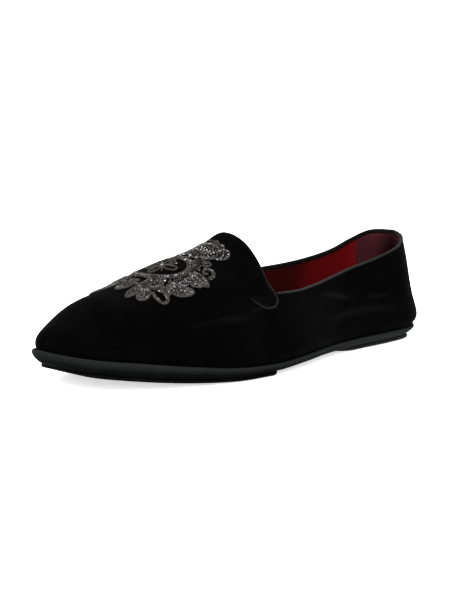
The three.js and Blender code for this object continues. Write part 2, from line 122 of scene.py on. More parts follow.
# along, ridge height, ridge side, fullness
RIDGE = (
    (0.00, 0.00, 0.19, 2.3), (0.02, 0.20, 0.17, 2.3), (0.05, 0.29, 0.14, 2.3), (0.10, 0.44, 0.10, 2.3),
    (0.20, 0.61, 0.07, 2.2), (0.30, 0.795, 0.06, 2.1), (0.40, 0.93, 0.06, 2.0), (0.47, 1.078, 0.06, 1.9),
    (0.60, 1.10, 0.05, 1.8), (0.70, 1.05, 0.03, 1.8), (0.80, 1.01, 0.01, 1.9), (0.86, 1.04, 0.00, 2.0),
    (0.93, 1.18, 0.00, 2.25), (1.00, 1.40, 0.00, 2.5),
)
# along, lateral, medial share of the collar's height
COLLAR_EDGE = (
    (0.44, 0.692, 0.672), (0.55, 0.672, 0.730), (0.65, 0.692, 0.744), (0.75, 0.754, 0.762),
    (0.85, 0.822, 0.815), (0.93, 0.900, 0.912), (0.97, 0.953, 0.980), (1.00, 1.000, 1.000),
)
# back, up, rise, root back, root up
TAB = (
    (-0.10, 1.22, 0.1, -0.50, 1.50), (0.03, 0.25, 0.7, -0.60, 1.30), (0.05, -0.17, 1.0, -0.66, 1.22),
    (0.03, -0.43, 1.0, -0.70, 1.18), (-0.05, -0.60, 1.0, -0.74, 1.16), (-0.14, -0.65, 1.0, -0.78, 1.16),
    (-0.34, -0.50, 1.0, -0.84, 1.18), (-0.55, -0.22, 1.0, -0.92, 1.22), (-0.76, 0.27, 1.0, -1.02, 1.30),
    (-0.93, 0.90, 0.7, -1.12, 1.45),
)

# Small maths


def angle_of(along):
    return np.arccos(1 - 2 * np.clip(along, 0, 1))


def along_of(angle):
    return (1 - np.cos(angle)) / 2


def mix(a, b, t):
    return a + (b - a) * t


def smooth(start, end, value):
    t = np.clip((value - start) / (end - start), 0, 1)
    return t * t * (3 - 2 * t)


def through(places, values):
    """A smooth curve through one column of a table, as in the solids."""
    places, values = np.array(places, float), np.array(values, float)
    steps = np.diff(places)
    rises = np.diff(values) / steps
    slopes = np.empty_like(values)
    slopes[0], slopes[-1] = rises[0], rises[-1]
    slopes[1:-1] = (steps[1:] * rises[:-1] + steps[:-1] * rises[1:]) / (steps[:-1] + steps[1:])

    def value(x):
        x = np.asarray(x, float)
        i = np.clip(np.searchsorted(places, x) - 1, 0, len(steps) - 1)
        t = np.clip((x - places[i]) / steps[i], 0, 1)
        rest = 1 - t
        return (rest * rest * (1 + 2 * t) * values[i] + t * t * (3 - 2 * t) * values[i + 1]
                + t * rest * steps[i] * (rest * slopes[i] - t * slopes[i + 1]))

    return value


def station(table, column):
    return through([angle_of(row[0]) for row in table], [row[column] for row in table])


outline_share = {-1: station(OUTLINE, 1), 1: station(OUTLINE, 2)}
thickness_share = station(THICKNESS, 1)
ridge_share, ridge_side, fullness = (station(RIDGE, column) for column in (1, 2, 3))
collar_share = {-1: station(COLLAR_EDGE, 1), 1: station(COLLAR_EDGE, 2)}
tab_curve = [through(np.linspace(0, 1, len(TAB)), [row[column] for row in TAB]) for column in range(5)]
THROAT_ANGLE = float(angle_of(THROAT / LENGTH))
NOSE_ANGLE = float(angle_of(0.1))

# The form of the shoe. side is -1 on the lateral side and 1 on the medial side.


def rim_point(side, angle):
    along = along_of(angle)
    half = mix(BALL_WIDTH, HEEL_WIDTH, smooth(*WAIST, along)) / 2
    return np.stack([(along - 0.5) * LENGTH, side * half * outline_share[side](angle)], -1)


def rim_normal(side, angle):
    tiny = 1e-3
    angle = np.asarray(angle, float)
    step = rim_point(side, np.minimum(np.pi, angle + tiny)) - rim_point(side, np.maximum(0, angle - tiny))
    normal = -side * np.stack([step[..., 1], -step[..., 0]], -1)
    normal = normal / np.maximum(1e-12, np.linalg.norm(normal, axis=-1))[..., None]
    normal[angle < tiny] = (-1, 0)
    normal[angle > np.pi - tiny] = (1, 0)
    return normal


def inset_point(side, angle, inset):
    angle = np.asarray(angle, float)
    return rim_point(side, angle) - rim_normal(side, angle) * (inset * np.ones_like(angle))[..., None]


def spring_lift(angle):
    return TOE_SPRING * np.maximum(0, 1 - along_of(angle) / SPRING_SHARE) ** SPRING_POWER


def sole_bottom(angle):
    along = along_of(angle)
    arch = ARCH_RISE * smooth(0.42, 0.54, along) * (1 - smooth(0.58, 0.7, along))
    return TREAD + spring_lift(angle) + arch


def rim_top(angle):
    return sole_bottom(angle) + SOLE_THICKNESS * thickness_share(angle)


def platform(angle):
    return rim_top(angle) - RIM_LIP


def feather(angle):
    return platform(angle) + CLEAR


def edge_height(side, angle):
    return collar_share[side](angle) * COLLAR


def band_top(side, angle):
    share = (edge_height(side, THROAT_ANGLE) - feather(THROAT_ANGLE)) / (ridge_share(THROAT_ANGLE) * INSTEP)
    vamp = feather(angle) + share * ridge_share(angle) * INSTEP
    return np.where(np.asarray(angle) >= THROAT_ANGLE, edge_height(side, angle), vamp)


def skin_frame(side, angle, inset):
    depth = RIM_WIDTH + CLEAR + inset
    base = inset_point(side, angle, depth)
    other = inset_point(-side, angle, depth)
    rise = np.sin(np.minimum(1, angle / NOSE_ANGLE) * np.pi / 2)
    x = (base[..., 0] + other[..., 0]) / 2
    past = x - (LENGTH / 2 - HEEL_CENTRE)
    eased = np.where(past >= HEEL_BLEND, x - past, x - (past + HEEL_BLEND) ** 2 / (4 * HEEL_BLEND))
    x = np.where(past <= -HEEL_BLEND, x, eased)
    centre = np.stack([x, ridge_side(angle) * BALL_WIDTH / 2], -1)
    height = np.maximum(0, ridge_share(angle) * INSTEP - inset * rise)
    return base, centre, height


def place(base, centre, side, angle, across, z):
    along = along_of(angle)
    over = np.maximum(0, z - rim_top(angle)) / BULGE_HEIGHT
    swell = mix(SIDE_BULGE, HEEL_BULGE, smooth(0.75, 0.95, along))
    swell = swell * mix(TOE_SWELL, 1, smooth(0.06, 0.3, along))
    steep = mix(2, 1.2, smooth(0.8, 0.95, along) + 1 - smooth(0.0, 0.15, along))
    plan = centre + (base - centre) * across[..., None]
    plan = plan + rim_normal(side, angle) * (swell * across * (over * np.exp(1 - over)) ** steep)[..., None]
    return np.concatenate([plan, z[..., None]], -1)


def skin_point(side, angle, z, inset=0.0):
    angle, z = np.broadcast_arrays(np.asarray(angle, float), np.asarray(z, float))
    inset = inset * np.ones_like(z)
    base, centre, height = skin_frame(side, angle, inset)
    share = np.clip((z - feather(angle)) / np.maximum(height, 1e-9), 0, 1)
    power = fullness(angle)
    across = np.maximum(0, 1 - share ** power) ** (1 / power)
    flat = height < 1e-6
    return place(base, centre, side, angle, np.where(flat, 1, across), np.where(flat, feather(angle), z))


def cap_point(side, angle, turn, inset=0.0):
    angle, turn = np.broadcast_arrays(np.asarray(angle, float), np.asarray(turn, float))
    inset = inset * np.ones_like(turn)
    base, centre, height = skin_frame(side, angle, inset)
    power, low = fullness(angle), feather(angle)
    start = np.arcsin(np.clip((band_top(side, angle) - low) / np.maximum(height, 1e-9), 0, 1) ** (power / 2))
    phase = mix(start, np.pi / 2, turn)
    across = np.maximum(0, np.cos(phase)) ** (2 / power)
    point = place(base, centre, side, angle, across, low + height * np.sin(phase) ** (2 / power))
    bow = np.sin(turn * np.pi / 2) ** 2 * smooth(THROAT_ANGLE - 0.5, THROAT_ANGLE, angle)
    point[..., 0] += THROAT_BOW * bow
    return point


# The solids' group is moved so that its box is centred; the outsole shows by how much.
all_angles = np.linspace(0, np.pi, 721)
outline_y = np.concatenate([rim_point(side, all_angles)[:, 1] for side in (-1, 1)])
sole_low, sole_high = (np.array(corner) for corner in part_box("outsole"))
SHIFT = np.array([
    sole_high[0] - LENGTH / 2 * MM,
    (sole_low[1] + sole_high[1]) / 2 - (outline_y.min() + outline_y.max()) / 2 * MM,
    0.0,
])


def world(points):
    return np.asarray(points, float) * MM + SHIFT


# Meshes

class Builder:
    """Collects grids of points, in millimetres, into one mesh with a UV map in millimetres."""

    def __init__(self):
        self.points, self.uvs, self.faces, self.wear, self.count = [], [], [], [], 0

    def add(self, points, faces, uvs, wear=None):
        self.points.append(np.asarray(points, float).reshape(-1, 3))
        self.wear.append(np.zeros(len(self.points[-1])) if wear is None else wear.ravel())
        self.uvs.append(np.asarray(uvs, float).reshape(-1, 2))
        self.faces.append(np.asarray(faces, int) + self.count)
        self.count += len(self.points[-1])

    def grid(self, points, uvs=None, flip=False, wrap=False, wear=None):
        """Rows of points become quads. wrap joins the last column to the first; the last argument is the
        painted highlight along the creases' ridges.
        """
        rows, columns = points.shape[:2]
        if uvs is None:
            uvs = lengths(points)
        if wrap:
            points = np.concatenate([points, points[:, :1]], 1)
            step = uvs[:, 1:2] - uvs[:, :1]
            uvs = np.concatenate([uvs, uvs[:, -1:] + step], 1)
            columns += 1
        index = np.arange(rows * columns).reshape(rows, columns)
        a, b, c, d = index[:-1, :-1], index[:-1, 1:], index[1:, 1:], index[1:, :-1]
        faces = np.stack([d, c, b, a] if flip else [a, b, c, d], -1).reshape(-1, 4)
        self.add(points, faces, uvs, wear)

    def build(self, name, material, slot, merge=0.02):
        mesh = bpy.data.meshes.new(name)
        mesh.from_pydata(world(np.concatenate(self.points)).tolist(), [], np.concatenate(self.faces).tolist())
        layer = mesh.uv_layers.new(name="size")
        corners = np.empty(len(mesh.loops), dtype=np.int32)
        mesh.loops.foreach_get("vertex_index", corners)
        layer.data.foreach_set("uv", np.concatenate(self.uvs)[corners].astype(np.float32).ravel())
        # The painted highlight along the velvet's crease ridges, for its material.
        wear = mesh.attributes.new("wear", "FLOAT", "POINT")
        wear.data.foreach_set("value", np.concatenate(self.wear).astype(np.float32))
        mesh.validate()
        piece = bpy.data.objects.new(name, mesh)
        bpy.context.collection.objects.link(piece)
        if merge:
            weld(mesh, merge * MM)
        mesh.shade_smooth()
        mesh.materials.append(material)
        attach(piece, "root")
        return piece


def weld(mesh, distance):
    import bmesh
    work = bmesh.new()
    work.from_mesh(mesh)
    bmesh.ops.remove_doubles(work, verts=work.verts, dist=distance)
    bmesh.ops.recalc_face_normals(work, faces=work.faces)
    work.to_mesh(mesh)
    work.free()


def lengths(points):
    """A UV for each point of a grid: millimetres along its row and its column."""
    def run(values, axis):
        steps = np.linalg.norm(np.diff(values, axis=axis), axis=2)
        first = np.zeros_like(np.take(steps, [0], axis))
        return np.concatenate([first, np.cumsum(steps, axis)], axis)
    return np.stack([run(points, 1), run(points, 0)], -1)


def loop_of(make, angles):
    """Points round the shoe: along the lateral side to the heel, and back along the medial side."""
    return np.concatenate([make(-1, angles), make(1, angles[-2:0:-1])], 0)


# Materials

class Surface:
    """A material in the making. Most methods add a node and return its output."""

    def __init__(self, name):
        self.material = bpy.data.materials.new(name)
        self.material.use_nodes = True
        self.tree = self.material.node_tree
        self.where = self.node("TexCoord", {}).outputs["Object"]

    def plug(self, target, inputs):
        """Links each input to a socket, or sets its value."""
        for key, value in inputs.items():
            socket = target.inputs[key]
            if isinstance(value, bpy.types.NodeSocket):
                self.tree.links.new(value, socket)
            else:
                socket.default_value = value

    def node(self, kind, inputs, **settings):
        made = self.tree.nodes.new("ShaderNode" + kind)
        for key, value in settings.items():
            setattr(made, key, value)
        self.plug(made, inputs)
        return made

    def noise(self, scale, detail=4.0, roughness=0.55, distortion=0.0):
        return self.node("TexNoise", {"Vector": self.where, "Scale": scale, "Detail": detail,
                                      "Roughness": roughness, "Distortion": distortion}).outputs["Fac"]

    def waves(self, vector, scale, direction, distortion, **more):
        return self.node("TexWave", {"Vector": vector, "Scale": scale, "Distortion": distortion, **more},
                         wave_type="BANDS", bands_direction=direction).outputs["Fac"]

    def size_uv(self):
        return self.node("UVMap", {}, uv_map="size").outputs["UV"]

    def axis(self, vector, letter):
        return self.node("SeparateXYZ", {"Vector": vector}).outputs[letter]

    def ramp(self, value, *stops):
        made = self.node("ValToRGB", {"Fac": value})
        elements = made.color_ramp.elements
        while len(elements) < len(stops):
            elements.new(0.5)
        for element, (place_at, color) in zip(elements, stops):
            element.position = place_at
            element.color = (*color, 1.0)
        return made.outputs["Color"]

    def span(self, value, low, high, start=0.0, end=1.0, **settings):
        """The value's range from start to end becomes low to high."""
        return self.node("MapRange", {"Value": value, "From Min": start, "From Max": end,
                                      "To Min": low, "To Max": high}, **settings).outputs["Result"]

    def math(self, operation, a, b):
        return self.node("Math", {0: a, 1: b}, operation=operation).outputs[0]

    def blend(self, a, share_a, b, share_b):
        return self.math("ADD", self.math("MULTIPLY", a, share_a), self.math("MULTIPLY", b, share_b))

    def scaled(self, color, share):
        return self.node("VectorMath", {0: color, "Scale": share}, operation="SCALE").outputs["Vector"]

    def darkened_along_x(self, color, start, end, least):
        """The colour at x = start in metres falls to a share of itself at x = end."""
        x = self.axis(self.where, "X")
        return self.scaled(color, self.span(x, 1.0, least, start, end, interpolation_type="SMOOTHSTEP"))

    def bumps(self, *layers):
        """Each layer is a height, its distance in metres and its strength."""
        normal = None
        for height, distance, strength in layers:
            inputs = {"Height": height, "Distance": distance, "Strength": strength}
            if normal is not None:
                inputs["Normal"] = normal
            normal = self.node("Bump", inputs).outputs["Normal"]
        return normal

    def finish(self, **sockets):
        shader = self.tree.nodes["Principled BSDF"]
        self.plug(shader, {key.replace("_", " "): value for key, value in sockets.items()})
        return self.material


def velvet_material(name, dark, light, sheen, tint=(0.86, 0.87, 0.92, 1.0), fade=None):
    """Cut pile: a dark ground and a sheen that follows crushed patches of pile, with a painted highlight
    (more sheen, lighter colour) along the ridges of the creases.
    fade is (start, end) in metres along the shoe and the share of the colour left at its end."""
    made = Surface(name)
    crease_highlight = made.node("Attribute", {}, attribute_name="wear").outputs["Fac"]
    crush = made.noise(38.0, 3.0, 0.6, 0.6)
    pile = made.noise(1500.0, 3.0, 0.7)
    tufts = made.noise(420.0, 4.0, 0.6, 0.3)
    tone = made.blend(crush, 0.6, tufts, 0.4)
    color = made.ramp(tone, (0.3, dark), (0.7, light))
    if fade:
        color = made.darkened_along_x(color, *fade)
    nap_sheen_and_highlight = made.span(tone, sheen * 0.5, sheen * 1.5, 0.3, 0.7)
    # The painted crease highlight adds sheen here, and below it lightens the colour up to four times.
    nap_sheen_and_highlight = made.math("ADD", nap_sheen_and_highlight, made.math("MULTIPLY", crease_highlight, 0.02))
    return made.finish(
        Base_Color=made.scaled(color, made.span(crease_highlight, 1.0, 4.0)),
        Normal=made.bumps((crush, 0.0006, 0.35), (tufts, 0.00018, 0.5), (pile, 0.0001, 0.7)),
        Roughness=made.span(pile, 0.85, 1.0),
        Sheen_Weight=nap_sheen_and_highlight, Sheen_Roughness=0.38, Sheen_Tint=tint, Specular_IOR_Level=0.02, IOR=1.2)


def ribbon_material(name, dark, light):
    made = Surface(name)
    ribs = made.waves(made.size_uv(), 0.55, "Y", 0.6, **{"Detail": 1.0, "Detail Scale": 2.0})
    fibre = made.noise(2600.0, 3.0)
    tone = made.blend(ribs, 0.5, made.noise(60.0, 3.0), 0.5)
    return made.finish(
        Base_Color=made.ramp(tone, (0.2, dark), (0.75, light)),
        Normal=made.bumps((ribs, 0.00012, 0.7), (fibre, 0.00005, 0.5)),
        Roughness=made.span(fibre, 0.5, 0.72),
        Sheen_Weight=0.005, Specular_IOR_Level=0.2, IOR=1.2)


def leather_material(name, dark, light, scale, fade=None):
    """scale is the size of the grain; fade is as for the velvet."""
    made = Surface(name)
    cells = made.node("TexVoronoi", {"Vector": made.where, "Scale": scale, "Randomness": 1.0},
                      feature="SMOOTH_F1").outputs["Distance"]
    cloud = made.noise(26.0, 4.0, 0.6)
    color = made.ramp(cloud, (0.3, dark), (0.7, light))
    if fade:
        color = made.darkened_along_x(color, *fade)
    return made.finish(
        Base_Color=color,
        Normal=made.bumps((cells, 0.00012, 0.35), (made.noise(scale * 2.2, 3.0), 0.00004, 0.4)),
        Roughness=made.span(cloud, 0.43, 0.6),
        Specular_IOR_Level=0.2)


def rubber_material(name, dark, light, rough, band=None, ribs=False):
    """band is (start, end) in tenths of the rim's height, over which the colour goes from a painted shade
    below to lit above. Towards the heel the painted shade is left out, and the rubber is light all the way
    down."""
    made = Surface(name)
    smear = made.noise(45.0, 4.0, 0.65)
    tone = smear
    if band:
        # Painted shade: dark low on the rim, lit above, and lit all the way down towards the heel.
        lit_share = made.math("MAXIMUM", made.span(made.axis(made.size_uv(), "Y"), 0.0, 0.6, *band),
                          made.span(made.axis(made.where, "X"), 0.0, 0.6, 0.01, 0.075))
        tone = made.math("ADD", made.math("MULTIPLY", smear, 0.4), lit_share)
    layers = [(made.noise(900.0, 3.0, 0.6), 0.00006, 0.5)]
    if ribs:
        layers.append((made.waves(made.where, 105.0, "X", 0.0), 0.0006, 0.8))
    return made.finish(
        Base_Color=made.ramp(tone, (0.2, dark), (0.8, light)),
        Normal=made.bumps(*layers),
        Roughness=made.span(smear, rough - 0.08, rough + 0.1),
        Specular_IOR_Level=0.06, IOR=1.2)


def metal_material(name, dark, light, rough, metallic, threads=0):
    """threads is the scale of the cord's twist. Without it, the UV map holds a tone that varies by bead."""
    made = Surface(name)
    patina = made.noise(300.0, 3.0)
    if threads:
        twist = made.waves(made.size_uv(), threads, "DIAGONAL", 0.4)
        tone = made.blend(twist, 0.55, patina, 0.45)
        normal = made.bumps((twist, 0.00018, 0.9))
    else:
        tone = made.blend(made.axis(made.size_uv(), "X"), 0.7, patina, 0.3)
        normal = made.bumps((patina, 0.00006, 0.4))
    middle = tuple(mix(a, b, 0.35) for a, b in zip(dark, light))
    return made.finish(
        Base_Color=made.ramp(tone, (0.2, dark), (0.62, middle), (0.85, light)),
        Normal=normal,
        Roughness=made.span(patina, rough - 0.08, rough + 0.12),
        Metallic=metallic, Specular_Tint=(0.35, 0.35, 0.35, 1.0))


def stone_material():
    made = Surface("cut_stone")
    tone = made.noise(500.0, 2.0)
    return made.finish(
        Base_Color=made.ramp(tone, (0.3, (0.002, 0.002, 0.003)), (0.8, (0.010, 0.010, 0.013))),
        Roughness=made.span(tone, 0.04, 0.12),
        Specular_IOR_Level=0.25, Coat_Weight=0.12)


def floor_material():
    made = Surface("floor")
    tone = made.noise(3.0, 2.0)
    return made.finish(
        Base_Color=made.ramp(tone, (0.3, (0.86, 0.86, 0.86)), (0.7, (0.88, 0.88, 0.88))),
        Roughness=made.span(tone, 0.75, 0.8),
        Emission_Strength=FLOOR_GLOW)


velvet = velvet_material("velvet", (0.0003, 0.0003, 0.0004), (0.0011, 0.0010, 0.0011), 0.0075)
velvet_tongue = velvet_material("velvet_tongue", (0.0005, 0.0005, 0.0005), (0.0014, 0.0013, 0.0012), 0.012)
plum_suede = velvet_material("plum_suede", (0.034, 0.0075, 0.0105), (0.052, 0.013, 0.017), 0.03,
                             (0.9, 0.7, 0.72, 1.0), (0.1305, 0.1365, 0.1))
ribbon = ribbon_material("grosgrain", (0.0016, 0.0016, 0.0015), (0.0064, 0.0062, 0.0058))
fold_ribbon = ribbon_material("fold_ribbon", (0.0025, 0.0025, 0.0025), (0.006, 0.006, 0.006))
# The lining's colour falls to a quarter from the heel quarter forward: painted shade inside the shoe towards
# the throat.
red_leather = leather_material("red_leather", (0.095, 0.0012, 0.0018), (0.15, 0.0019, 0.0028), 900.0,
                               (0.096, 0.062, 0.25))
# A darker copy of the lining's red leather: painted shade deep inside the shoe.
sock_leather = leather_material("sock_leather", (0.04, 0.0007, 0.0011), (0.06, 0.001, 0.0014), 800.0)
# Painted shade on the rim's lower part, from dark below to light above.
rim_rubber = rubber_material("rim_rubber", (0.0010, 0.0011, 0.0011), (0.0108, 0.0118, 0.0114), 0.8,
                             (3.5, 10.0))
# A lighter copy of the tread rubber: painted light on the heel pad.
heel_rubber = rubber_material("heel_rubber", (0.008, 0.0087, 0.0085), (0.017, 0.0184, 0.018), 0.75, ribs=True)
tread_rubber = rubber_material("tread_rubber", (0.0010,) * 3, (0.0032,) * 3, 0.75, ribs=True)
cord_metal = metal_material("cord_metal", (0.012, 0.0115, 0.011), (0.115, 0.108, 0.102), 0.42, 0.8, 0.9)
bead_metal = metal_material("bead_metal", (0.02, 0.019, 0.018), (0.27, 0.257, 0.243), 0.34, 0.9)
seed_metal = metal_material("seed_metal", (0.012, 0.0115, 0.011), (0.13, 0.123, 0.116), 0.38, 0.85)
bright_metal = metal_material("bright_metal", (0.16, 0.155, 0.15), (0.55, 0.54, 0.52), 0.24, 0.95)

# The upper's velvet: one skin from the lateral feather edge over the vamp, and both quarters.

VAMP_STEPS = 110
QUARTER_STEPS = 130
BAND_ROWS = 44
CAP_HALF = 60

vamp_angles = THROAT_ANGLE * np.linspace(0, 1, VAMP_STEPS + 1) ** 1.15
quarter_angles = np.linspace(THROAT_ANGLE, np.pi, QUARTER_STEPS + 1)
shoe_angles = np.concatenate([vamp_angles, quarter_angles[1:]])


def soft_line(points, path, width, depth, lift):
    """A trough of that depth along a path of the side view (x, z), with a low ridge above it."""
    path = np.array(path, float)
    xz = points[..., [0, 2]]
    best = np.full(points.shape[:-1], 1e9)
    signed = np.zeros(points.shape[:-1])
    fade = np.zeros(points.shape[:-1])
    total = len(path) - 1
    for i, (a, b) in enumerate(zip(path[:-1], path[1:])):
        along = b - a
        size = np.linalg.norm(along)
        t = np.clip(((xz - a) @ along) / size ** 2, 0, 1)
        gap = xz - (a + t[..., None] * along)
        away = np.linalg.norm(gap, axis=-1)
        side = np.sign(along[0]) * np.sign(gap[..., 1] * along[0] - gap[..., 0] * along[1])
        closer = away < best
        best = np.where(closer, away, best)
        signed = np.where(closer, away * np.where(side == 0, 1, side), signed)
        fade = np.where(closer, np.sin(np.pi * np.clip((i + t) / total, 0.02, 0.98)) ** 0.7, fade)
    trough = -depth * np.exp(-(signed / width) ** 2)
    ridge = lift * np.exp(-((signed - 2 * width) / (1.3 * width)) ** 2)
    # A painted highlight on the slope up to the low ridge, where it would catch the light.
    wear = np.exp(-((signed - 1.2 * width) / (0.8 * width)) ** 2) * min(1.0, lift / 0.55)
    return fade * (trough + ridge), fade * wear


# Creases of the velvet: side, path as (x, z) in millimetres, width, depth and lift.
CREASES = (
    (-1, ((34, 36.5), (46, 35.0), (57, 32.4), (66, 30.2)), 1.5, 0.45, 0.55),
    (-1, ((80, 30.2), (90, 29.2), (101, 28.6)), 1.5, 0.35, 0.45),
    (-1, ((36, 19), (58, 21.5), (84, 21), (108, 18.5)), 2.6, 0.45, 0.30),
    (-1, ((-86, 31), (-62, 33), (-40, 31)), 3.0, 0.35, 0.25),
    (-1, ((-52, 39), (-36, 37.5), (-24, 36)), 1.6, 0.3, 0.3),
    (1, ((30, 20), (60, 23), (96, 20)), 3.0, 0.40, 0.25),
    (1, ((-80, 30), (-55, 32), (-34, 29)), 3.0, 0.30, 0.20),
)


def grid_normals(points):
    down = np.gradient(points, axis=0)
    across = np.gradient(points, axis=1)
    normal = np.cross(across, down)
    return normal / np.maximum(1e-9, np.linalg.norm(normal, axis=-1))[..., None]


def outward(points):
    normal = grid_normals(points)
    plan = points - np.array([0.0, 0.0, 20.0])
    plan[..., 0] = points[..., 0] * 0.15
    flip = np.sign((normal * plan).sum(-1))
    return normal * np.where(flip == 0, 1, flip)[..., None]


def crease(points, side):
    """The points with their creases, and the painted highlight along the creases at each."""
    move, wear = np.zeros(points.shape[:-1]), np.zeros(points.shape[:-1])
    for where, path, width, depth, lift in CREASES:
        if where == side:
            one_move, one_wear = soft_line(points, path, width, depth, lift)
            move, wear = move + one_move, np.maximum(wear, one_wear)
    return points + outward(points) * move[..., None], wear


def band(side, angles, inset, lift=EDGE_LIFT, rows=BAND_ROWS):
    rise = np.linspace(0, 1, rows + 1) ** 1.15
    low = feather(angles)[:, None]
    top = band_top(side, angles)[:, None]
    high = top + lift * (angles >= THROAT_ANGLE)[:, None]
    return skin_point(side, angles[:, None] * np.ones_like(rise), mix(low, high, rise), inset)


def cap(angles, inset):
    turn = np.linspace(0, 1, CAP_HALF + 1)
    grid_angles = angles[:, None] * np.ones_like(turn)
    lateral = cap_point(-1, grid_angles, turn, inset)
    medial = cap_point(1, grid_angles, turn, inset)[:, ::-1]
    return np.concatenate([lateral, medial[:, 1:]], 1)


def upper_sheet(inset, creased):
    """Vamp from feather to feather, and the two quarters, as three grids with their painted crease
    highlights.
    """
    sides, wear = {}, {}
    for side in (-1, 1):
        sides[side] = band(side, shoe_angles, inset)
        wear[side] = np.zeros(sides[side].shape[:-1])
        if creased:
            sides[side], wear[side] = crease(sides[side], side)
    vamp = VAMP_STEPS + 1
    over = cap(vamp_angles, inset)
    whole = np.concatenate([sides[-1][:vamp, :-1], over, sides[1][:vamp, :-1][:, ::-1]], 1)
    over_wear = np.zeros(over.shape[:-1])
    whole_wear = np.concatenate([wear[-1][:vamp, :-1], over_wear, wear[1][:vamp, :-1][:, ::-1]], 1)
    quarters = [(sides[side][vamp - 1:], wear[side][vamp - 1:]) for side in (-1, 1)]
    return (whole, whole_wear), *quarters


def add_upper(inset, edge_inset, creased):
    made = Builder()
    (whole, whole_wear), (lateral, lateral_wear), (medial, medial_wear) = upper_sheet(inset, creased)
    inner_whole, inner_lateral, inner_medial = (grid for grid, wear in upper_sheet(edge_inset, False))
    made.grid(whole, wear=whole_wear)
    made.grid(lateral, wear=lateral_wear)
    made.grid(medial, flip=True, wear=medial_wear)
    made.grid(np.stack([lateral[:, -1], inner_lateral[:, -1]], 1))
    made.grid(np.stack([medial[:, -1], inner_medial[:, -1]], 1), flip=True)
    throat = slice(BAND_ROWS, BAND_ROWS + 2 * CAP_HALF + 1)
    made.grid(np.stack([whole[-1, throat], inner_whole[-1, throat]], 0), flip=True)
    return made


upper = add_upper(0.0, WALL / 2, True).build("upper_velvet", velvet, "velvet")
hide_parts("upper")
add_upper(WALL, WALL / 2, False).build("lining", red_leather, "red_leather")

# The heel grip lines the back of the quarters inside.
grip_angles = np.linspace(angle_of(GRIP_FROM), np.pi, 60)
grip = Builder()
inner, outer = ({side: band(side, grip_angles, WALL + sunk, -GRIP_BELOW_EDGE, 30) for side in (-1, 1)}
                for sunk in (0.3, -0.2))
grip.grid(np.concatenate([inner[-1], inner[1][-2::-1]], 0))
for side in (-1, 1):
    grip.grid(np.stack([inner[side][0], outer[side][0]], 0))
    grip.grid(np.stack([inner[side][:, -1], outer[side][:, -1]], 1))
grip.build("heel_grip", plum_suede, "velvet")

# The tab at each lower corner of the tongue, lapped over the quarter.


def tab_point(side, back, up, inset):
    angle = angle_of((THROAT + back) / LENGTH)
    return skin_point(side, angle, band_top(side, angle) + up, inset)


tabs = Builder()
for side in (-1, 1):
    share = np.linspace(0, 1, 60)[:, None]
    lane = np.linspace(0, 1, 24)[None, :]
    back = mix(tab_curve[0](share), tab_curve[3](share), lane) * TAB_LENGTH
    up = mix(tab_curve[1](share), tab_curve[4](share), lane) * TAB_DROP
    rise = -TAB_RISE * tab_curve[2](share) * (0.1 + 0.9 * smooth(1.0, 0.84, share))
    round_edge = 0.35 * (1 - np.clip(lane / 0.08, 0, 1)) ** 2
    top = tab_point(side, back, up, mix(rise, 0.12, smooth(0, 1, lane)) + round_edge)
    root = tab_point(side, back[:, 0], up[:, 0], 0.4)
    tabs.grid(top, flip=side > 0)
    tabs.grid(np.stack([top[:, 0], root], 1), flip=side < 0)
tabs.build("tongue_tabs", velvet_tongue, "velvet")

# Bindings


def sweep(made, path, out, width, height, sides=14, taper=None):
    """A bead of oval section along a path. taper is its share of full thickness at each point."""
    taper = np.ones(len(path)) if taper is None else taper
    ahead = np.gradient(path, axis=0)
    ahead /= np.linalg.norm(ahead, axis=1)[:, None]
    up = np.cross(ahead, out)
    up /= np.linalg.norm(up, axis=1)[:, None]
    wide = np.cross(up, ahead)
    turn = 2 * np.pi * np.arange(sides) / sides
    wide, up = wide * taper[:, None], up * taper[:, None]
    ring = (path[:, None] + wide[:, None] * (np.cos(turn) * width / 2)[:, None]
            + up[:, None] * (np.sin(turn) * height / 2)[:, None])
    run = np.concatenate([[0], np.cumsum(np.linalg.norm(np.diff(path, axis=0), axis=1))])
    girth = turn / (2 * np.pi) * math.pi * (width + height) / 2
    uvs = np.stack(np.meshgrid(girth, run), -1)
    made.grid(ring, uvs, wrap=True)
    for end, flip in ((0, False), (-1, True)):
        cap_rings = np.stack([ring[end], path[end] + (ring[end] - path[end]) * 0.02], 0)
        made.grid(cap_rings, np.stack([uvs[end], uvs[end]], 0), flip=flip, wrap=True)


def unit(vectors):
    return vectors / np.maximum(1e-9, np.linalg.norm(vectors, axis=-1))[..., None]


def collar_path(steps, lift, inset):
    start = angle_of((THROAT + TAB[2][0] * TAB_LENGTH + 2 * BEAD_RADIUS + 2 * THROAT_GAP) / LENGTH)
    angles = np.linspace(start, np.pi, steps)

    def half(side, which):
        edge = band_top(side, which)
        point = skin_point(side, which, edge, inset)
        out = unit(skin_point(side, which, edge, inset - WALL / 2) - point)
        point[:, 2] += lift
        return point, out

    lateral, medial = half(-1, angles), half(1, angles[-2::-1])
    return np.concatenate([lateral[0], medial[0]]), np.concatenate([lateral[1], medial[1]])


collar = Builder()
path, out = collar_path(200, CLEAR + COLLAR_BEAD[1] / 2, WALL / 2)
sweep(collar, path, out, *COLLAR_PIPING)
collar_piece = collar.build("collar_piping", ribbon, "piping")
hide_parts("collar_binding")

# The binding's turned-in half, a flat ribbon on the lining below the piping.
fold = Builder()
levels = np.linspace(1.2, -FOLD_WIDTH, 4)
fold_angles = np.linspace(THROAT_ANGLE + 0.02, np.pi, 200)


def fold_line(lift, inset):
    def half(side, angles):
        return skin_point(side, angles, band_top(side, angles) + lift, inset)
    return np.concatenate([half(-1, fold_angles), half(1, fold_angles[-2::-1])])


columns = [fold_line(lift, WALL + 0.35) for lift in levels]
fold.grid(np.stack(columns, 1), flip=True)
fold.grid(np.stack([columns[-1], fold_line(-FOLD_WIDTH, WALL - 0.1)], 1), flip=True)
fold.build("collar_fold", fold_ribbon, "piping")



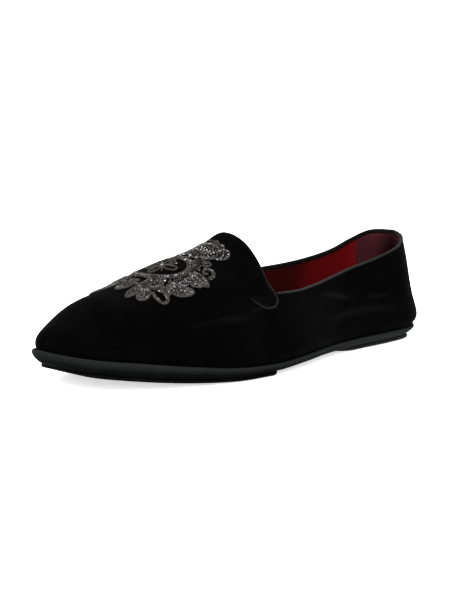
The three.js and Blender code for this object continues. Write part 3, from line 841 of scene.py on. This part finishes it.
def throat_path():
    off = THROAT_PIPING / 2

    def tab_edge(share):
        return np.stack([tab_curve[0](share) * TAB_LENGTH, tab_curve[1](share) * TAB_DROP], -1)

    def tab_bead(side, share):
        here, there = tab_edge(share), tab_edge(share + 0.02)
        step = np.where((share < 1)[:, None], there - here, np.array([-1.0, 1.4]))
        ahead = unit(step)
        spot = here + np.stack([-ahead[:, 1], ahead[:, 0]], -1) * off
        point = tab_point(side, spot[:, 0], spot[:, 1], -off + 0.25)
        return point, unit(point - tab_point(side, spot[:, 0], spot[:, 1], 0.0))

    def arch_bead(side, turn):
        angle = THROAT_ANGLE * np.ones_like(turn)
        point = cap_point(side, angle, turn, WALL / 2)
        out = unit(cap_point(side, angle, turn, 0.0) - point)
        point[:, 0] += off - 0.2
        return point, out

    def half(side):
        tab = tab_bead(side, np.linspace(1, 0.1, 60))
        arch = arch_bead(side, np.linspace(0.13, 1, 60))
        return np.concatenate([tab[0], arch[0]]), np.concatenate([tab[1], arch[1]])

    lateral, medial = half(-1), half(1)
    return [np.concatenate([one, other[-2::-1]]) for one, other in zip(lateral, medial)]


throat = Builder()
path, out = throat_path()
from_end = np.minimum(np.arange(len(path)), np.arange(len(path))[::-1]) / 9.0
sweep(throat, path, out, THROAT_PIPING, THROAT_PIPING, taper=0.35 + 0.65 * smooth(0, 1, from_end))
throat_piece = throat.build("throat_piping", ribbon, "piping")
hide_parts("throat_binding")

# The sole

SOLE_STEPS = 240
sole_angles = np.linspace(0, np.pi, SOLE_STEPS + 1)


def flare(angle):
    return RIM_FLARE + END_FLARE * np.abs(np.cos(angle)) ** 6


# The rim's section from the bottom up: share of the flare, inset past it, share of the height, and drop
RIM_SECTION = (
    (1.00, 1.4, 0.000, 0), (1.02, 0, 0.015, 0), (0.92, 0, 0.050, 0), (0.74, 0, 0.130, 0), (0.52, 0, 0.250, 0),
    (0.33, 0, 0.380, 0), (0.17, 0, 0.520, 0), (0.06, 0, 0.660, 0), (0, 0, 0.800, 0),
    (0, 0.08, 1, RIM_ROUND), (0, 0.30, 1, 0.26), (0, RIM_ROUND + 0.1, 1, 0),
    (0, RIM_WIDTH - 0.3, 1, 0), (0, RIM_WIDTH, 1, 0.3), (0, RIM_WIDTH, 1, RIM_LIP),
)


def rim_loop(flare_share, inset, height_share, drop):
    def make(side, angles):
        plan = inset_point(side, angles, flare(angles) * flare_share + inset)
        height = mix(sole_bottom(angles), rim_top(angles), height_share) - drop
        return np.concatenate([plan, height[:, None]], 1)
    return loop_of(make, sole_angles)


def cap_loop(made, points, flip):
    """Closes a loop with strips from the lateral to the medial side."""
    half = SOLE_STEPS + 1
    lateral = points[:half]
    medial = np.concatenate([points[:1], points[half - 1:][::-1]])[:half]
    medial[-1] = points[half - 1]
    share = np.linspace(0, 1, 7)[None, :, None]
    made.grid(lateral[:, None] * (1 - share) + medial[:, None] * share, flip=flip)


sole = Builder()
profile = [rim_loop(*row) for row in RIM_SECTION]
around = lengths(np.stack(profile[8:10], 0))[:1, :, 0]
# The rim's height in tenths, which sets the painted shade on its lower part.
up_rim = 10 * np.array([row[2] for row in RIM_SECTION[:9]] + [0.9, 0.96, 1, 1, 1, 1])[:, None]
sole_uvs = np.stack([around + 0 * up_rim, up_rim + 0 * around], -1)
sole.grid(np.stack(profile, 0), sole_uvs, wrap=True)
cap_loop(sole, profile[0], True)
cap_loop(sole, profile[-1], False)
sole_piece = sole.build("sole_rim", rim_rubber, "rubber")
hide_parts("outsole")


def tread_piece(name, node_name, material, start, end):
    steps = 120
    ends = angle_of(start / LENGTH), angle_of(end / LENGTH)
    angles = mix(ends[0], ends[1], (1 - np.cos(np.pi * np.linspace(0, 1, steps + 1))) / 2)
    nearest = np.minimum(angles - ends[0], ends[1] - angles) / 0.16
    narrow = np.where(nearest >= 1, 1, np.sqrt(np.maximum(0, 1 - (1 - nearest) ** 2)))
    depth = RIM_FLARE + TREAD_INSET / 2
    lateral, medial = inset_point(-1, angles, depth), inset_point(1, angles, depth)
    middle = (lateral + medial) / 2

    def ring(shrink, height):
        scale = (narrow - shrink / (np.linalg.norm(lateral - medial, axis=1) / 2 + 1e-6)).clip(0)[:, None]
        z = height(angles)[:, None]
        left = np.concatenate([middle + (lateral - middle) * scale, z], 1)
        right = np.concatenate([middle + (medial - middle) * scale, z], 1)
        return left, right

    # How far each ring lies inside the pad's edge, and its height: rounded edge, wall, then a groove
    sections = ((1.0, 0.0), (0.25, 0.2), (0.0, 0.6), (0.0, TREAD - 1.25), (0.3, TREAD - 1.0),
                (1.4, TREAD - 0.9), (1.4, TREAD - CLEAR * 0.2))
    bevel = (1 - narrow) * 1.5
    rings = [ring(shrink, lambda a, up=up: spring_lift(a) + np.maximum(up, bevel)) for shrink, up in sections]
    made = Builder()
    loops = [np.concatenate([left, right[-2:0:-1]]) for left, right in rings]
    made.grid(np.stack(loops, 0), wrap=True)
    share = np.linspace(0, 1, 9)[None, :, None]
    for (left, right), flip in ((rings[0], True), (rings[-1], False)):
        made.grid(left[:, None] * (1 - share) + right[:, None] * share, flip=flip)
    piece = made.build(name, material, "black_rubber")
    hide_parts(node_name)


tread_piece("forefoot_pad", "forefoot_tread", tread_rubber, *FORE_TREAD)
tread_piece("heel_pad", "heel_tread", heel_rubber, *HEEL_TREAD)

# The sock inside

sock = Builder()
SOCK_INSET = RIM_WIDTH + CLEAR + WALL + INSOLE_GAP
rows = np.linspace(0, 1, 25)
left, right = (inset_point(side, sole_angles, SOCK_INSET) for side in (-1, 1))
plan = left[:, None] * (1 - rows[None, :, None]) + right[:, None] * rows[None, :, None]
under = platform(sole_angles)[:, None] + CLEAR
height = under + INSOLE - SOCK_ROLL * np.abs(2 * rows - 1)[None] ** 6 - SOCK_SAG * np.sin(np.pi * rows)[None]
top = np.concatenate([plan, height[..., None]], -1)
sock.grid(top)
base = np.concatenate([np.stack([left, right], 1), np.repeat(under[:, :, None], 2, 1)], -1)
sock.grid(np.stack([top[:, 0], base[:, 0]], 1))
sock.grid(np.stack([top[:, -1], base[:, 1]], 1), flip=True)
sock_piece = sock.build("sock", sock_leather, "red_leather")
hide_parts("insole")

# The embroidery's map: u runs along the foot from the design's toe end, v along the skin from the ridge,
# negative on the lateral side, both in millimetres.

PATCH_U = np.arange(-4, PATCH_LENGTH + 4.01, 1.0)
PATCH_V = np.arange(-44, 44.01, 1.0)


def patch_grid():
    backs = THROAT - PATCH_FROM_THROAT - PATCH_LENGTH + PATCH_U
    angles = angle_of(backs / LENGTH)
    turns = np.linspace(1, 0, 160)
    grid = np.empty((len(PATCH_U), len(PATCH_V), 3))
    for i, angle in enumerate(angles):
        for side in (-1, 1):
            over = cap_point(side, np.full(turns.shape, angle), turns)
            low = skin_point(side, angle, np.linspace(float(band_top(side, angle)), 14.0, 80))
            section = np.concatenate([over, low[1:]])
            run = np.concatenate([[0], np.cumsum(np.linalg.norm(np.diff(section, axis=0), axis=1))])
            columns = side * PATCH_V >= 0
            chosen = side * PATCH_V[columns]
            grid[i, columns] = np.stack([np.interp(chosen, run, section[:, k]) for k in range(3)], 1)
    return grid


PATCH = patch_grid()
PATCH_NORMAL = unit(np.cross(np.gradient(PATCH, axis=0), np.gradient(PATCH, axis=1)))
PATCH_NORMAL *= np.sign(PATCH_NORMAL[..., 2:3])


def on_patch(u, v, lift):
    """Points on the vamp at (u, v), raised by lift."""
    u, v, lift = np.broadcast_arrays(np.asarray(u, float), np.asarray(v, float), np.asarray(lift, float))
    fu = np.clip(u - PATCH_U[0], 0, len(PATCH_U) - 1.001)
    fv = np.clip(v - PATCH_V[0], 0, len(PATCH_V) - 1.001)
    iu, iv = fu.astype(int), fv.astype(int)
    tu, tv = (fu - iu)[..., None], (fv - iv)[..., None]

    def sample(grid):
        near = grid[iu, iv] * (1 - tv) + grid[iu, iv + 1] * tv
        far = grid[iu + 1, iv] * (1 - tv) + grid[iu + 1, iv + 1] * tv
        return near * (1 - tu) + far * tu

    normal = unit(sample(PATCH_NORMAL))
    return sample(PATCH) + normal * lift[..., None], normal


rng = np.random.default_rng(7)


def icosphere(divide):
    t = (1 + 5 ** 0.5) / 2
    points = [(-1, t, 0), (1, t, 0), (-1, -t, 0), (1, -t, 0), (0, -1, t), (0, 1, t),
              (0, -1, -t), (0, 1, -t), (t, 0, -1), (t, 0, 1), (-t, 0, -1), (-t, 0, 1)]
    faces = [(0, 11, 5), (0, 5, 1), (0, 1, 7), (0, 7, 10), (0, 10, 11), (1, 5, 9), (5, 11, 4),
             (11, 10, 2), (10, 7, 6), (7, 1, 8), (3, 9, 4), (3, 4, 2), (3, 2, 6), (3, 6, 8),
             (3, 8, 9), (4, 9, 5), (2, 4, 11), (6, 2, 10), (8, 6, 7), (9, 8, 1)]
    points = [np.array(p) / np.linalg.norm(p) for p in points]
    for _ in range(divide):
        middles, finer = {}, []

        def middle(a, b):
            key = (min(a, b), max(a, b))
            if key not in middles:
                middles[key] = len(points)
                points.append(unit(points[a] + points[b]))
            return middles[key]

        for a, b, c in faces:
            ab, bc, ca = middle(a, b), middle(b, c), middle(c, a)
            finer += [(a, ab, ca), (b, bc, ab), (c, ca, bc), (ab, bc, ca)]
        faces = finer
    return np.array(points), np.array(faces)


BALL = icosphere(1)
SEED = icosphere(0)


class Beads:
    """Beads sewn to the vamp, gathered into one mesh."""

    def __init__(self):
        self.u, self.v, self.size, self.lift = [], [], [], []

    def put(self, u, v, size, lift=None):
        u, v = np.atleast_1d(u), np.atleast_1d(v)
        self.u.append(u)
        self.v.append(v)
        self.size.append(np.full(len(u), float(size)))
        self.lift.append(np.full(len(u), size * 0.42 if lift is None else float(lift)))

    def row(self, path, size, spacing=None, lift=None):
        spacing = spacing or size * 1.02
        run = np.concatenate([[0], np.cumsum(np.linalg.norm(np.diff(path, axis=0), axis=1))])
        count = max(2, int(run[-1] / spacing) + 1)
        at = np.linspace(0, run[-1], count)
        self.put(np.interp(at, run, path[:, 0]), np.interp(at, run, path[:, 1]), size, lift)

    def build(self, name, template, material):
        u, v = np.concatenate(self.u), np.concatenate(self.v)
        size, lift = np.concatenate(self.size), np.concatenate(self.lift)
        jitter = rng.normal(0, 0.05, (2, len(u)))
        where, normal = on_patch(u + jitter[0], v + jitter[1], lift)
        shape, faces = template
        scale = size / 2 * rng.uniform(0.88, 1.1, len(u))
        points = where[:, None] + shape[None] * scale[:, None, None]
        points = points - normal[:, None] * ((shape[None] @ normal[..., None]) * scale[:, None, None] * 0.22)
        tone = np.repeat(rng.uniform(0, 1, (len(u), 1)), len(shape), 1)
        made = Builder()
        offsets = np.arange(len(u))[:, None, None] * len(shape)
        made.add(points, (faces[None] + offsets).reshape(-1, 3), np.stack([tone, tone], -1))
        return made.build(name, material, "metal_thread", merge=0)


def mirrored(path):
    return path * np.array([1.0, -1.0])


def curve_through(points, steps=40):
    """A smooth path through a few points of the design."""
    points = np.array(points, float)
    run = np.concatenate([[0], np.cumsum(np.linalg.norm(np.diff(points, axis=0), axis=1))])
    at = np.linspace(0, run[-1], steps)
    return np.stack([through(run, points[:, k])(at) for k in range(2)], 1)


cords = Builder()
beads, seeds, brights = Beads(), Beads(), Beads()


def cord(path, thickness, lift=0.4):
    """A twisted metal cord couched down along a path."""
    points, normal = on_patch(path[:, 0], path[:, 1], thickness * lift)
    sweep(cords, points, unit(np.cross(np.gradient(points, axis=0), normal)), thickness, thickness, 7)


def both(make, path, *args, **options):
    make(path, *args, **options)
    make(mirrored(path), *args, **options)


def beside(path, offset):
    """The path moved sideways by offset, which may change along it."""
    ahead = unit(np.gradient(path, axis=0))
    return path + np.stack([-ahead[:, 1], ahead[:, 0]], 1) * np.asarray(offset)[..., None]


def trimmed(path, start, end):
    run = np.linspace(0, 1, len(path))
    at = np.linspace(start, end, len(path))
    return np.stack([np.interp(at, run, path[:, k]) for k in range(2)], 1)


def leaf_share(t):
    """A leaf's width from root to tip, as a share of its widest."""
    return np.sin(np.pi * (0.12 + 0.88 * t ** 1.25)).clip(0.0)


def outline_of(path, half):
    return np.concatenate([beside(path, half), beside(path, -half)[-2::-1]])


def lobe(points, width, fill="full", round_tip=0.5, rope=1.15, size=1.05):
    """A rounded leaf along a few points, root first: a cord round its edge, and rows of beads inside."""
    path = curve_through(points, 34)
    t = np.linspace(0, 1, len(path))
    half = width / 2 * leaf_share(t) ** round_tip
    both(cord, outline_of(path, half), rope)
    if fill == "open":
        half = (half - rope * 0.9).clip(0.2)
        inner = np.concatenate([beside(path, half)[3:31], beside(path, -half)[30:2:-1]])
        both(beads.row, inner, size * 1.1, size * 1.2)
        return
    rows = max(1, int(round((width - rope) / 1.15)))
    for k in range(rows):
        share = 0.0 if rows == 1 else -1 + (2 * k + 1) / rows
        row = trimmed(beside(path, (half - rope * 0.45).clip(0) * share), 0.04, 0.95 - 0.12 * share * share)
        both((beads, seeds)[k % 2].row, row, size if k % 2 else size * 1.1, size * 1.1)


# The dark oval field in its frame of cord and beads, with a plain knot of four loops in the middle
OVAL = (34.5, 11.2, 17.6)


def oval(grow, start=0.0, end=360.0):
    at = np.radians(np.linspace(start, end, 200))
    return np.stack([OVAL[0] + (OVAL[1] + grow) * np.cos(at), (OVAL[2] + grow) * np.sin(at)], 1)


cord(oval(0.0), 1.15)
beads.row(oval(1.5), 1.5, 1.7)
cord(oval(2.9), 1.05)
KNOT = (8.4, 11.5)
for k in range(4):
    angle = np.radians(90 * k)
    reach = KNOT[k % 2]
    t = np.linspace(0, 2 * np.pi, 60)
    along = 0.4 + reach * (1 - np.cos(t)) / 2
    across = (3.0, 2.7)[k % 2] * np.sin(t) * (0.5 + 0.5 * (1 - np.cos(t)) / 2)
    turned = [along * np.cos(angle) - across * np.sin(angle), along * np.sin(angle) + across * np.cos(angle)]
    cord(np.stack(turned, 1) + np.array([OVAL[0], 0.0]), 1.15)
    spot = np.array([math.cos(angle), math.sin(angle)]) * reach * 0.68
    seeds.put(OVAL[0] + spot[0], spot[1], 1.2)
    diagonal = np.array([math.cos(angle + 0.785), math.sin(angle + 0.785)])
    stalk = np.array([[OVAL[0], 0.0]]) + diagonal * np.array([[2.0], [4.0], [6.2]]) * np.array([[1.0, 1.25]])
    cord(curve_through(stalk, 12), 0.95)
    beads.put(stalk[-1, 0] + diagonal[0] * 0.9, stalk[-1, 1] + diagonal[1] * 0.9, 1.5)
beads.put(OVAL[0], 0.0, 2.0)

# The shell at the throat end: rows of beads one inside the other, in three scallops
SHELL_EDGE = ((70.8, 0), (71.2, 3.4), (69.2, 7.0), (69.9, 10.2), (67.6, 13.6), (68.3, 17.0), (66.6, 20.6),
              (63.0, 22.3), (59.4, 20.4), (57.4, 17.2), (54.2, 15.2))
SHELL_ROOT = np.array([48.5, 5.5])
SHELL_ROWS, SHELL_STEP = 13, 0.068
edge = curve_through(SHELL_EDGE, 70)
for k in range(SHELL_ROWS):
    scale = 1 - SHELL_STEP * k
    row = SHELL_ROOT * np.array([1.0, scale]) + (edge - SHELL_ROOT) * scale
    row = row[(row[:, 1] > 0.35) & (row[:, 0] > 48.8)]
    if k in (0, 4, 8):
        both(cord, row, 1.15)
    else:
        both((beads, seeds)[k % 2].row, row, (1.2, 1.0)[k % 2], 1.25)
    if k in (2, 5, 7):
        both(brights.row, trimmed(row, 0.04, 0.96), 1.1, 3.4)
for share in (0.30, 0.42, 0.50, 0.58, 0.64, 0.70, 0.77, 0.84):
    spot = edge[int(share * 69)] * 0.975 + SHELL_ROOT * 0.025
    both(brights.row, np.stack([spot, spot + 0.01]), 1.25, 5.0)

# Scrolls of cord of one half; both() mirrors them. Last is the cord's thickness.
SCROLLS = (
    (((43.0, 31.6), (46.4, 31.0), (48.4, 27.8), (46.8, 24.6), (44.0, 25.0), (43.6, 27.4), (45.2, 28.2)), 1.5),
    (((49.8, 16.2), (52.6, 18.4), (52.0, 21.6), (48.8, 22.2), (47.8, 19.8), (49.4, 18.8)), 1.2),
    (((21.2, 8.0), (16.4, 8.8), (12.2, 6.8), (11.6, 3.6), (14.2, 2.4), (16.0, 4.0)), 1.4),
    (((22.4, 16.0), (18.8, 19.6), (14.2, 18.6), (13.6, 14.6), (16.6, 13.0), (18.4, 15.0)), 1.4),
)
for points, thickness in SCROLLS:
    path = curve_through(points)
    both(cord, path, thickness)
    both(beads.row, trimmed(beside(path, 1.35), 0.03, 0.66), 1.05, 1.2)

# Leaves that ring the design: points from root to tip, width, fill and how round the tip is
LEAVES = (
    (((38.2, 21.0), (37.6, 28.0), (39.6, 37.0)), 7.4, "full", 0.8),
    (((23.2, 21.4), (22.6, 28.6), (29.4, 36.2)), 8.0, "full", 0.6),
    (((12.6, 20.6), (12.0, 27.0), (11.0, 33.2)), 7.2, "open", 0.45),
    (((10.4, 13.6), (6.2, 18.6), (0.4, 22.4)), 7.6, "full", 0.5),
    (((11.6, 9.0), (5.0, 11.6), (-3.4, 14.6)), 5.6, "full", 0.7),
    (((31.4, 30.4), (34.2, 32.0), (35.4, 35.0)), 3.4, "full", 0.7),
    (((17.4, 20.8), (17.8, 25.0), (16.6, 29.4)), 3.2, "full", 0.7),
)
for points, width, fill, round_tip in LEAVES:
    lobe(points, width, fill, round_tip)
toe_leaf = curve_through(((17.0, 0.0), (9.0, 0.0), (1.6, 0.0)), 34)
toe_half = 4.2 * leaf_share(np.linspace(0, 1, 34)) ** 0.7
cord(outline_of(toe_leaf, toe_half), 1.15)
for share in (-0.75, -0.45, -0.15, 0.15, 0.45, 0.75):
    seeds.row(trimmed(beside(toe_leaf, toe_half * share), 0.03, 0.94 - 0.2 * abs(share)), 1.1, 1.2)

# Close rows of beads between the frame and the leaves. GAPS are (u, v, radius) of places left bare.
FILL = (
    ((19.6, 3.6), (22.8, 12.0), (23.6, 17.0), (20.0, 21.0),
     (12.6, 21.0), (9.6, 13.6), (10.6, 8.6), (17.0, 9.6)),
    ((24.4, 17.6), (29.0, 20.6), (36.0, 21.8), (35.4, 24.6),
     (34.6, 30.0), (27.0, 30.4), (25.2, 24.6), (22.0, 21.4)),
    ((44.6, 14.8), (47.6, 9.0), (51.8, 11.6), (54.0, 15.6), (48.6, 17.4), (42.0, 22.4), (39.6, 20.6)),
)
GAPS = ((17.4, 14.6, 1.6), (15.2, 20.2, 1.2), (29.0, 27.0, 2.6), (32.9, 26.6, 2.4),
        (25.8, 28.0, 1.0), (46.0, 20.0, 1.2))


def inside(u, v, corners):
    hit = np.zeros(len(u), bool)
    for (u0, v0), (u1, v1) in zip(corners, corners[1:] + corners[:1]):
        crosses = (v0 > v) != (v1 > v)
        hit ^= crosses & (u < (u1 - u0) * (v - v0) / ((v1 - v0) or 1e-9) + u0)
    return hit


grid_u, grid_v = (axis.ravel() for axis in np.meshgrid(np.arange(6, 58, 1.25), np.arange(2, 34, 1.3)))
grid_u = grid_u + 0.62 * np.round(grid_v / 1.3) % 1.25
for corners in FILL:
    keep = inside(grid_u, grid_v, corners)
    for gap_u, gap_v, size in GAPS:
        keep &= np.hypot(grid_u - gap_u, grid_v - gap_v) > size
    keep &= rng.uniform(0, 1, len(keep)) < 0.92
    for sign in (-1, 1):
        seeds.put(grid_u[keep], sign * grid_v[keep], 1.12)

# The brightest beads: (u, v, size)
BRIGHTS = (
    (30.0, 17.9, 1.9), (33.7, 31.2, 1.7), (24.3, 22.8, 1.5), (13.9, 23.0, 1.6), (18.7, 10.6, 1.5),
    (22.8, 17.2, 1.4), (45.2, 6.4, 1.6), (46.4, 10.2, 1.4), (51.8, 2.6, 1.6), (50.9, 8.8, 1.6),
    (43.2, 22.6, 1.2), (10.6, 16.4, 1.2), (4.6, 2.0, 1.3), (8.4, 26.0, 1.1), (27.4, 31.6, 1.2),
    (36.8, 24.4, 1.3), (57.4, 6.0, 1.2), (61.6, 11.0, 1.2),
)
for u, v, size in BRIGHTS:
    for sign in (-1, 1):
        brights.put(u, sign * v, size)

cord_piece = cords.build("embroidery_cords", cord_metal, "metal_thread", merge=0)
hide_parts("embroidery")
beads.build("embroidery_beads", BALL, bead_metal)
seeds.build("embroidery_seeds", SEED, seed_metal)
brights.build("embroidery_brights", BALL, bright_metal)

# Cut stones, each in a frame of bright beads: u, v, half its length and width, and its turn
stones = Builder()
frames = Beads()
STONES = ((32.9, 26.6, 2.2, 1.7, 1.0), (29.0, 27.0, 2.4, 1.8, 0.8))
for su, sv, long, wide, spin in STONES:
    for sign in (-1, 1):
        flip = np.array([1, sign])
        centre = np.array([su, sv]) * flip
        axis = np.array([math.cos(spin), math.sin(spin)])
        aside = np.array([-axis[1], axis[0]])
        corners = centre + np.array([axis * long, aside * wide, -axis * long, -aside * wide]) * flip
        rings = []
        for scale, lift in ((1.0, 0.5), (0.92, 1.3), (0.5, 2.0), (0.02, 2.0)):
            spots = centre + (corners - centre) * scale
            rings.append(on_patch(spots[:, 0], spots[:, 1], lift)[0])
        stones.grid(np.stack(rings, 0), wrap=True, flip=sign < 0)
        sides = [np.linspace(corners[i], corners[(i + 1) % 4], 8)[:-1] for i in range(4)]
        edge = np.concatenate(sides + [corners[:1]])
        frames.row(centre + (edge[4:20] - centre) * 1.3, 0.9, 1.0, 0.7)
stone_piece = stones.build("cut_stones", stone_material(), "metal_thread", merge=0)
for polygon in stone_piece.data.polygons:
    polygon.use_smooth = False
frames.build("stone_frames", BALL, bright_metal)

# Floor, light and camera

AZIMUTH, ELEVATION, ROLL = math.radians(-43.7), math.radians(9.2), math.radians(0.07)
DISTANCE = 1.2
TARGET = np.array([0.0, 0.0, 0.035]) + SHIFT
away = math.cos(ELEVATION)
back = np.array([math.sin(AZIMUTH) * away, -math.cos(AZIMUTH) * away, math.sin(ELEVATION)])
right = np.array([math.cos(AZIMUTH), math.sin(AZIMUTH), 0.0])
up = np.cross(back, right)
right, up = (right * math.cos(ROLL) + up * math.sin(ROLL), up * math.cos(ROLL) - right * math.sin(ROLL))

# The floor runs away from the camera and curves up into a backdrop, both in metres.
forward = -np.array([back[0], back[1], 0.0])
forward /= np.linalg.norm(forward)
sideways = np.array([-forward[1], forward[0], 0.0])
profile_run = [(-6.0, 0.0), (0.0, 0.0), (3.0, 0.0)]
profile_run += [(3.0 + 2.0 * math.sin(a), 2.0 - 2.0 * math.cos(a)) for a in np.linspace(0.1, math.pi / 2, 16)]
profile_run += [(5.0, 8.0)]
points, faces = [], []
for k, (run, rise) in enumerate(profile_run):
    for sign in (-1, 1):
        points.append(tuple(forward * run + sideways * 9.0 * sign + np.array([0, 0, rise])))
    if k:
        a = 2 * k
        faces.append((a - 2, a - 1, a + 1, a))
mesh = bpy.data.meshes.new("floor")
mesh.from_pydata(points, [], faces)
mesh.shade_smooth()
mesh.materials.append(floor_material())
floor = bpy.data.objects.new("floor", mesh)
bpy.context.collection.objects.link(floor)

scene = bpy.context.scene
world_light = bpy.data.worlds.new("studio")
scene.world = world_light
world_light.use_nodes = True
background = world_light.node_tree.nodes["Background"]
background.inputs["Color"].default_value = (1, 1, 1, 1)
background.inputs["Strength"].default_value = STUDIO_LIGHT
scene.view_settings.view_transform = "Standard"


def softbox(name, place_at, size, power):
    data = bpy.data.lights.new(name, "AREA")
    data.shape = "RECTANGLE"
    data.size, data.size_y = size
    data.energy = power
    light = bpy.data.objects.new(name, data)
    light.location = place_at
    light.rotation_euler = (Vector(place_at) * -1).to_track_quat("-Z", "Y").to_euler()
    bpy.context.collection.objects.link(light)


softbox("top", (0.1, -0.2, 1.8), (1.6, 1.6), 20)
softbox("front", (-1.5, -1.5, 0.7), (1.4, 0.7), 22)
softbox("rear", (-0.6, 1.4, 1.1), (0.8, 0.8), 8)

camera_data = bpy.data.cameras.new("camera")
camera_data.sensor_fit = "HORIZONTAL"
camera_data.sensor_width = 36.0
# The photo's width and the shoe's scale in it, in pixels. The frame is closer in, on the one shoe.
PHOTO_WIDTH = 450.0
PHOTO_SCALE = 1.313 / MM
FRAME_ZOOM = 1.27
FRAME_MOVE = -12.0
camera_data.lens = PHOTO_SCALE * DISTANCE * camera_data.sensor_width / PHOTO_WIDTH * FRAME_ZOOM
camera_data.shift_x = FRAME_MOVE / PHOTO_WIDTH * FRAME_ZOOM
camera_data.shift_y = 0.0
camera = bpy.data.objects.new("camera", camera_data)
placed = Matrix.Identity(4)
for column, axis in enumerate((right, up, back, TARGET + back * DISTANCE)):
    for row in range(3):
        placed[row][column] = float(axis[row])
camera.matrix_world = placed
bpy.context.collection.objects.link(camera)
scene.camera = camera
